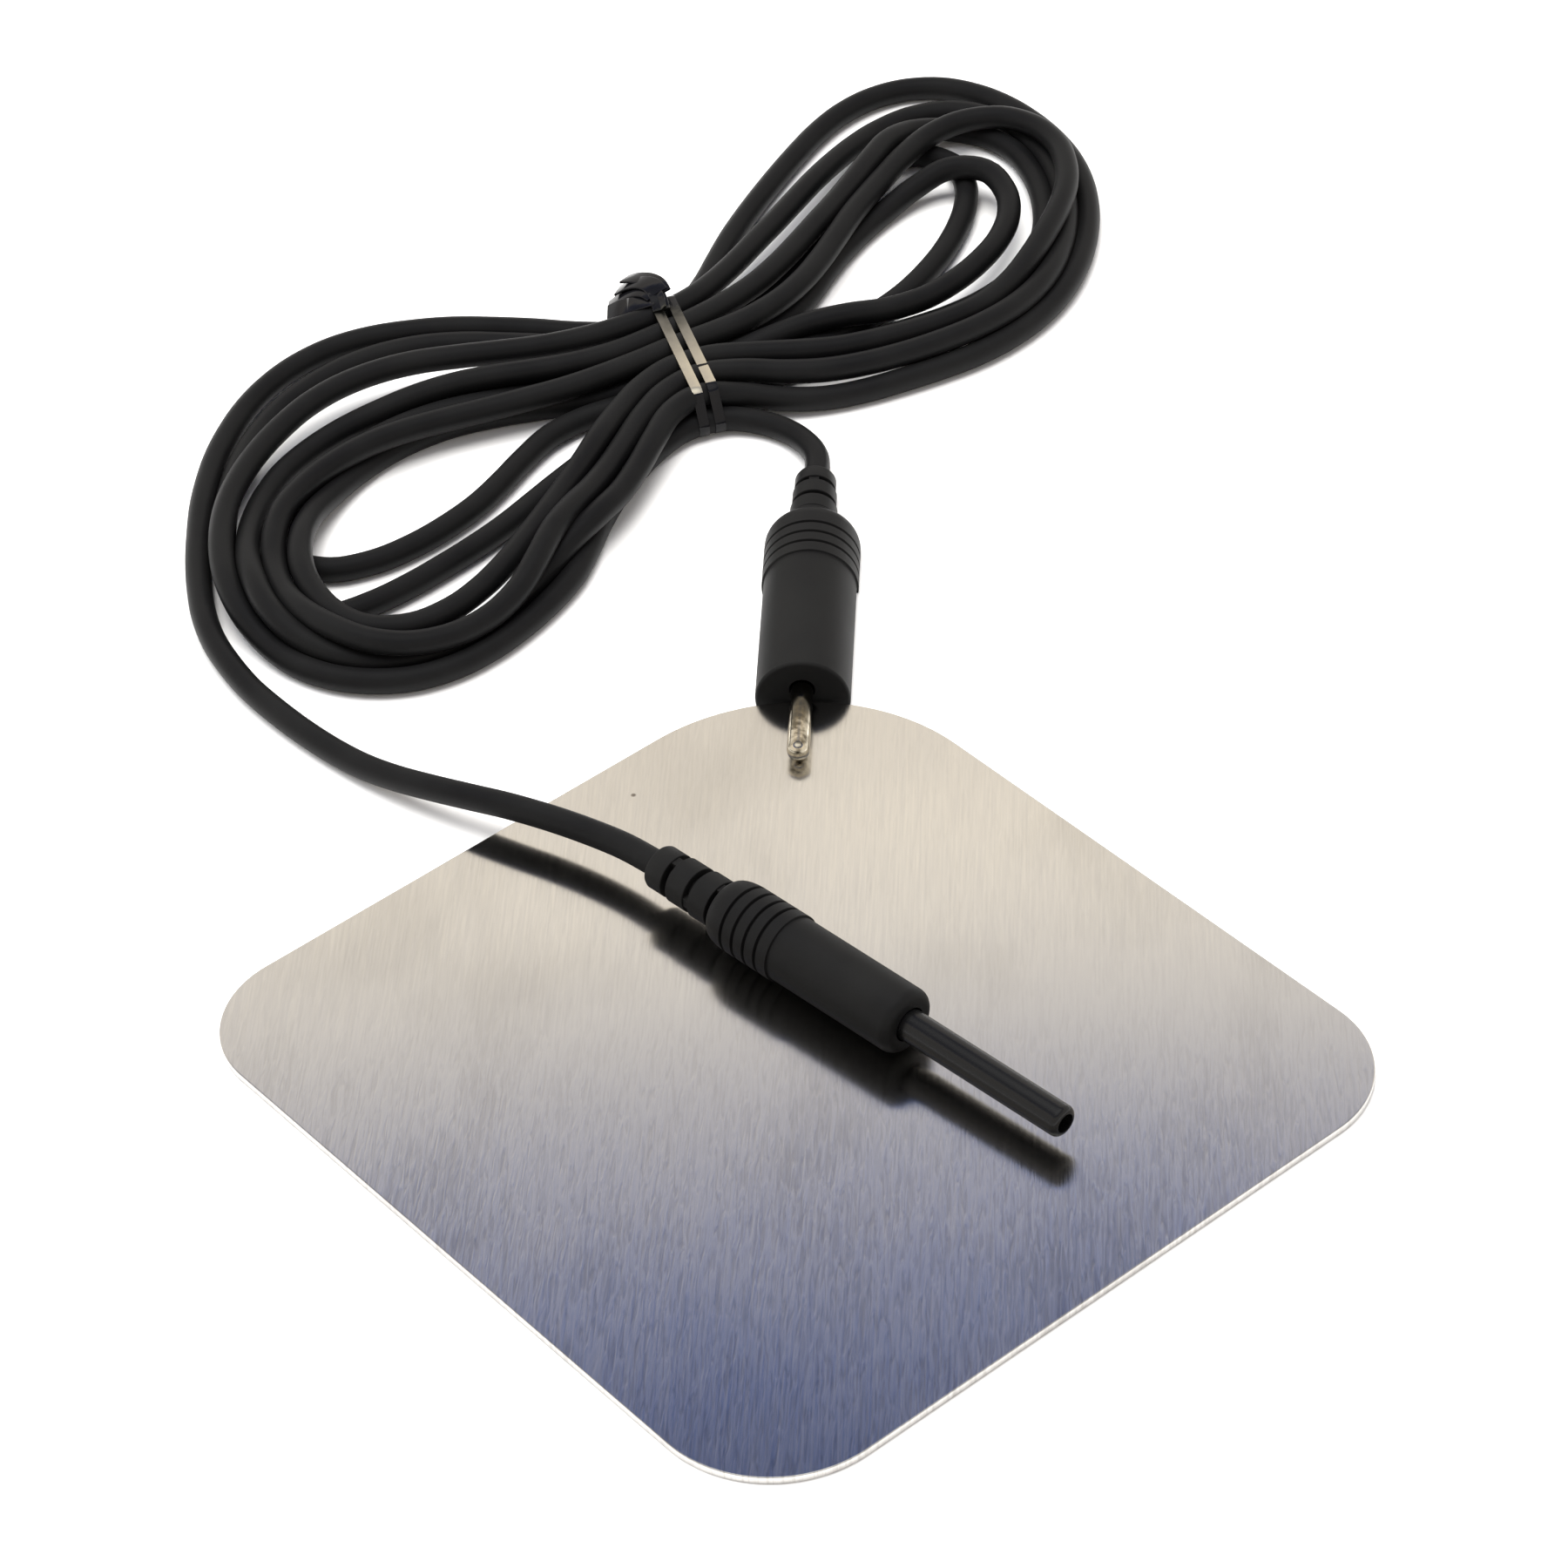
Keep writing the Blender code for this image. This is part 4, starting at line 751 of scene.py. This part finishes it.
bmesh.ops.remove_doubles(tie_ring, verts=tie_ring.verts, dist=0.000004)
bmesh.ops.recalc_face_normals(tie_ring, faces=tie_ring.faces)
tie = finish_piece("cord_tie_strip", tie_ring, ["cord_tie"], 40.0)

# %% [markdown]
# ## Brushed stainless
# The sheet was ground with a belt, so it carries fine lines in one direction. Noise that is stretched
# along the grind makes them, as fine hairs and as coarser ridges. The ridges are strongest in the near
# half of the plate and reach its colour and its bump, and the hairs its roughness. Anisotropy smears
# what the steel mirrors. Slow noise adds faint stains, and one small dark mark lies on the far half.

# %% Plate steel
def object_place(nodes, links, turn=(0.0, 0.0, 0.0), scale=(1.0, 1.0, 1.0)):
    """Object coordinates, turned by one Mapping node and then stretched by a second one."""
    place = nodes.new("ShaderNodeTexCoord")
    turned, stretched = nodes.new("ShaderNodeMapping"), nodes.new("ShaderNodeMapping")
    turned.inputs["Rotation"].default_value = turn
    stretched.inputs["Scale"].default_value = scale
    links.new(place.outputs["Object"], turned.inputs["Vector"])
    links.new(turned.outputs["Vector"], stretched.inputs["Vector"])
    return stretched.outputs["Vector"]


def combined(nodes, links, operation, first, second, third=None):
    """One Math node. Each value is a socket or a plain number."""
    made = nodes.new("ShaderNodeMath")
    made.operation = operation
    for socket, value in zip(made.inputs, (first, second, third)):
        if isinstance(value, (int, float)):
            socket.default_value = value
        elif value is not None:
            links.new(value, socket)
    return made.outputs["Value"]


def noise(nodes, links, vector, scale, detail=3.0, distortion=0.0):
    made = nodes.new("ShaderNodeTexNoise")
    made.inputs["Scale"].default_value = scale
    made.inputs["Detail"].default_value = detail
    made.inputs["Distortion"].default_value = distortion
    links.new(vector, made.inputs["Vector"])
    return made.outputs["Fac"]


def ranged(nodes, links, value, low, high, from_low=0.3, from_high=0.7):
    """Stretches a 0 to 1 pattern between two values."""
    made = nodes.new("ShaderNodeMapRange")
    made.inputs["From Min"].default_value = from_low
    made.inputs["From Max"].default_value = from_high
    made.inputs["To Min"].default_value = low
    made.inputs["To Max"].default_value = high
    links.new(value, made.inputs["Value"])
    return made.outputs["Result"]


def ramped(nodes, links, value, *steps):
    """Colours a pattern: each step is (position, colour)."""
    made = nodes.new("ShaderNodeValToRGB")
    fill_ramp(made.color_ramp, steps)
    links.new(value, made.inputs["Fac"])
    return made.outputs["Color"]


def bumped(nodes, links, shader, height, strength, distance):
    made = nodes.new("ShaderNodeBump")
    made.inputs["Strength"].default_value = strength
    made.inputs["Distance"].default_value = distance
    links.new(height, made.inputs["Height"])
    links.new(made.outputs["Normal"], shader.inputs["Normal"])


GRIND = math.radians(43.0)
steel, nodes, links, shader = new_material("brushed_stainless")
shader.inputs["Metallic"].default_value = 1.0
turn = (0.0, 0.0, GRIND)
hairs = noise(nodes, links, object_place(nodes, links, turn, (60.0, 2600.0, 60.0)), 1.0, 3.0, 0.1)
ridges = noise(nodes, links, object_place(nodes, links, turn, (170.0, 1650.0, 170.0)), 1.0, 2.0, 1.0)
bands = noise(nodes, links, object_place(nodes, links, turn, (6.0, 26.0, 6.0)), 1.0, 2.0, 0.4)
slow = noise(nodes, links, object_place(nodes, links), 16.0, 3.0)
stains = noise(nodes, links, object_place(nodes, links, turn, (20.0, 30.0, 20.0)), 1.0, 2.0, 0.3)
clean = ranged(nodes, links, stains, 0.90, 1.0, 0.32, 0.50)
mark_place = nodes.new("ShaderNodeVectorMath")
mark_place.operation = "DISTANCE"
mark_place.inputs[1].default_value = (-0.0662, 0.0207, 0.0015)
links.new(object_place(nodes, links), mark_place.inputs[0])
mark = ranged(nodes, links, mark_place.outputs["Value"], 0.25, 1.0, 0.00025, 0.00055)
near = nodes.new("ShaderNodeSeparateXYZ")
links.new(object_place(nodes, links, turn), near.inputs["Vector"])
near_share = ranged(nodes, links, near.outputs["X"], 0.15, 1.0, -0.010, 0.040)
ridge_tone = combined(nodes, links, "MULTIPLY_ADD", near_share, ranged(nodes, links, ridges, -0.20, 0.12), 1.0)
tone = combined(nodes, links, "MULTIPLY", combined(nodes, links, "MULTIPLY", clean, mark), ridge_tone)
links.new(ramped(nodes, links, tone, (0.0, (0.08, 0.06, 0.05)), (0.70, (0.440, 0.425, 0.405)),
                 (1.0, (0.645, 0.632, 0.610))), shader.inputs["Base Color"])
links.new(combined(nodes, links, "ADD", ranged(nodes, links, slow, 0.145, 0.180),
                   ranged(nodes, links, hairs, 0.0, 0.04)), shader.inputs["Roughness"])
shader.inputs["Anisotropic"].default_value = 0.75
across_grind = nodes.new("ShaderNodeCombineXYZ")
across_grind.inputs["X"].default_value = math.sin(GRIND)
across_grind.inputs["Y"].default_value = math.cos(GRIND)
links.new(across_grind.outputs["Vector"], shader.inputs["Tangent"])
fine_relief = combined(nodes, links, "MULTIPLY_ADD", hairs, 0.25, combined(nodes, links, "MULTIPLY", bands, 0.8))
relief = combined(
    nodes, links, "MULTIPLY_ADD", combined(nodes, links, "MULTIPLY", ridges, near_share), 2.0, fine_relief
)
bumped(nodes, links, shader, relief, 1.0, 0.0000075)
plate.data.materials.append(steel)
print("steel nodes", len(nodes))

# %% [markdown]
# ## The black mouldings and the cord
# The cord's jacket and the plugs are flexible black plastic. It isn't one flat black: the skin is very
# slightly uneven, paler where it has been handled, and its gloss changes over a few millimetres.

# %% Black plastics
def black_plastic(name, dark, pale, rough_low, rough_high, grain, grain_depth, specular):
    made, nodes, links, shader = new_material(name)
    place = object_place(nodes, links)
    handling = noise(nodes, links, place, 55.0, 3.0)
    skin = noise(nodes, links, place, grain, 4.0)
    links.new(ramped(nodes, links, handling, (0.35, dark), (0.68, pale)), shader.inputs["Base Color"])
    links.new(ranged(nodes, links, handling, rough_low, rough_high), shader.inputs["Roughness"])
    shader.inputs["Specular IOR Level"].default_value = specular
    bumped(nodes, links, shader, skin, 0.25, grain_depth)
    return made


jacket_black = black_plastic("cord_jacket", (0.0050, 0.0050, 0.0054), (0.0085, 0.0085, 0.0086), 0.42, 0.54,
                             2600.0, 0.00005, 0.115)
moulding_black = black_plastic("plug_moulding", (0.0060, 0.0060, 0.0062), (0.0098, 0.0098, 0.0096),
                               0.46, 0.58, 3800.0, 0.00006, 0.13)
tube_black = black_plastic("sleeve_black", (0.0040, 0.0040, 0.0043), (0.0060, 0.0060, 0.0062), 0.22, 0.30,
                           2600.0, 0.00001, 0.30)
cord.data.materials.append(jacket_black)
for piece in (pin_grip, sleeve_grip):
    piece.data.materials.append(moulding_black)
black_tube.data.materials.append(tube_black)
print("black plastics", jacket_black.name, moulding_black.name, tube_black.name)

# %% [markdown]
# ## Metals of the contacts and the wire
# The pin is nickel-plated brass, so its mirror is slightly warm. Painted shade darkens it near the
# moulding, it is tarnished dark in spots, and so its nose is the brightest part. The bare wire inside
# is stranded copper, shown by slanted fine waves.

# %% Contact metals
nickel, nodes, links, shader = new_material("contact_nickel")
shader.inputs["Metallic"].default_value = 1.0
place = object_place(nodes, links)
tarnish = noise(nodes, links, place, 620.0, 3.0)
on_pin = nodes.new("ShaderNodeSeparateXYZ")
links.new(object_place(nodes, links, (0.0, 0.0, -PIN_HEADING)), on_pin.inputs["Vector"])
mouth = pin_face.dot(pin_diagonal)
# Painted shade: the pin is darkened where it leaves the moulding, fading out along its length.
clear = ranged(nodes, links, on_pin.outputs["X"], 0.05, 1.0, mouth + 0.004, mouth + 0.013)
tone = combined(nodes, links, "MULTIPLY", clear, ranged(nodes, links, tarnish, 0.45, 1.0, 0.32, 0.58))
links.new(ramped(nodes, links, tone, (0.0, (0.06, 0.06, 0.055)), (0.45, (0.19, 0.16, 0.11)),
                 (1.0, (0.72, 0.65, 0.51))), shader.inputs["Base Color"])
links.new(ranged(nodes, links, tarnish, 0.24, 0.12), shader.inputs["Roughness"])
bumped(nodes, links, shader, noise(nodes, links, place, 2200.0, 2.0), 0.12, 0.00004)
pin_contact.data.materials.append(nickel)
socket.data.materials.append(nickel)

copper, nodes, links, shader = new_material("conductor_copper")
shader.inputs["Metallic"].default_value = 1.0
place = object_place(nodes, links, (0.6, 0.5, 0.4))
wave = nodes.new("ShaderNodeTexWave")
wave.inputs["Scale"].default_value = 900.0
links.new(place, wave.inputs["Vector"])
links.new(ramped(nodes, links, wave.outputs["Fac"], (0.2, (0.45, 0.20, 0.12)), (0.8, (0.86, 0.47, 0.32))),
          shader.inputs["Base Color"])
links.new(ranged(nodes, links, wave.outputs["Fac"], 0.28, 0.42, 0.0, 1.0), shader.inputs["Roughness"])
bumped(nodes, links, shader, wave.outputs["Fac"], 0.4, 0.0001)
print("contact metals", nickel.name, copper.name)

# %% [markdown]
# ## The tie's shine
# The tie is a thin glossy black strip. Where it lies flat on top of the hank, a painted reflection makes
# it silver to tan and metallic, cut square where the turns run down the near side. Beyond that it is
# glossy black with painted highlights along its edges. The place along the tie tells the two apart.

# %% Tie strip
strip, nodes, links, shader = new_material("tie_plastic")
place = object_place(nodes, links)
from_tie = nodes.new("ShaderNodeMapping")
from_tie.inputs["Location"].default_value = (-TIE_CENTRE.x, -TIE_CENTRE.y, 0.0)
links.new(place, from_tie.inputs["Vector"])
to_tie = nodes.new("ShaderNodeMapping")
to_tie.inputs["Rotation"].default_value = (0.0, 0.0, -TIE_HEADING)
links.new(from_tie.outputs["Vector"], to_tie.inputs["Vector"])
split = nodes.new("ShaderNodeSeparateXYZ")
links.new(to_tie.outputs["Vector"], split.inputs["Vector"])
creases = noise(nodes, links, place, 1100.0, 3.0)
patches = noise(nodes, links, place, 260.0, 2.0, 0.5)
# Painted reflection: the strip's flat top is coloured silver to tan and made metallic, as if it mirrored the
# room's light.
far_band = combined(nodes, links, "GREATER_THAN", split.outputs["Y"], 0.0)
limit = combined(nodes, links, "MULTIPLY_ADD", far_band, -0.0022, 0.0162)
painted_reflection_start = combined(nodes, links, "MULTIPLY_ADD", creases, 0.0022, -0.0128)
painted_reflection_share = combined(
    nodes, links, "MULTIPLY", combined(nodes, links, "LESS_THAN", split.outputs["X"], limit),
    combined(nodes, links, "MULTIPLY", combined(nodes, links, "GREATER_THAN", split.outputs["X"], painted_reflection_start),
             combined(nodes, links, "GREATER_THAN", split.outputs["Z"], 0.0075)),
)
run = ranged(nodes, links, split.outputs["X"], 0.0, 1.0, -0.0120, 0.0140)
painted_reflection = ramped(nodes, links, combined(nodes, links, "MULTIPLY_ADD", patches, 0.35, run),
              (0.22, (0.05, 0.05, 0.045)), (0.55, (0.36, 0.34, 0.29)), (0.95, (0.74, 0.68, 0.54)))
# Painted highlight: the strip's sharp edges are paled by pointiness, as thin glints.
edges = nodes.new("ShaderNodeNewGeometry")
painted_edge_highlight = ramped(nodes, links, edges.outputs["Pointiness"],
              (0.62, (0.005, 0.005, 0.006)), (0.74, (0.16, 0.16, 0.16)))
blend = nodes.new("ShaderNodeMix")
blend.data_type = "RGBA"
links.new(painted_reflection_share, blend.inputs["Factor"])
links.new(painted_edge_highlight, blend.inputs["A"])
links.new(painted_reflection, blend.inputs["B"])
links.new(blend.outputs["Result"], shader.inputs["Base Color"])
links.new(painted_reflection_share, shader.inputs["Metallic"])
links.new(combined(nodes, links, "MULTIPLY_ADD", painted_reflection_share, 0.18, ranged(nodes, links, patches, 0.12, 0.20)),
          shader.inputs["Roughness"])
bumped(nodes, links, shader, patches, 0.5, 0.00012)
shader.inputs["Specular IOR Level"].default_value = 0.20
tie.data.materials.append(strip)
print("tie strip nodes", len(nodes))

# %% [markdown]
# ## Carried-over inner parts
# The cord's hidden ends inside both plugs keep their CAD shape: a bared conductor in its crimp barrel
# and the cut end of the jacket. They only need the right finish.

# %% Inner parts
for name, finish, slot_name in (
    ("pin_plug_conductor", copper, "conductor_copper"),
    ("sleeve_plug_conductor", copper, "conductor_copper"),
    ("pin_plug_jacket_end", jacket_black, "cord_jacket"),
    ("sleeve_plug_jacket_end", jacket_black, "cord_jacket"),
):
    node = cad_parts[name]
    node.data.materials.clear()
    node.data.materials.append(finish)
print("inner parts finished")
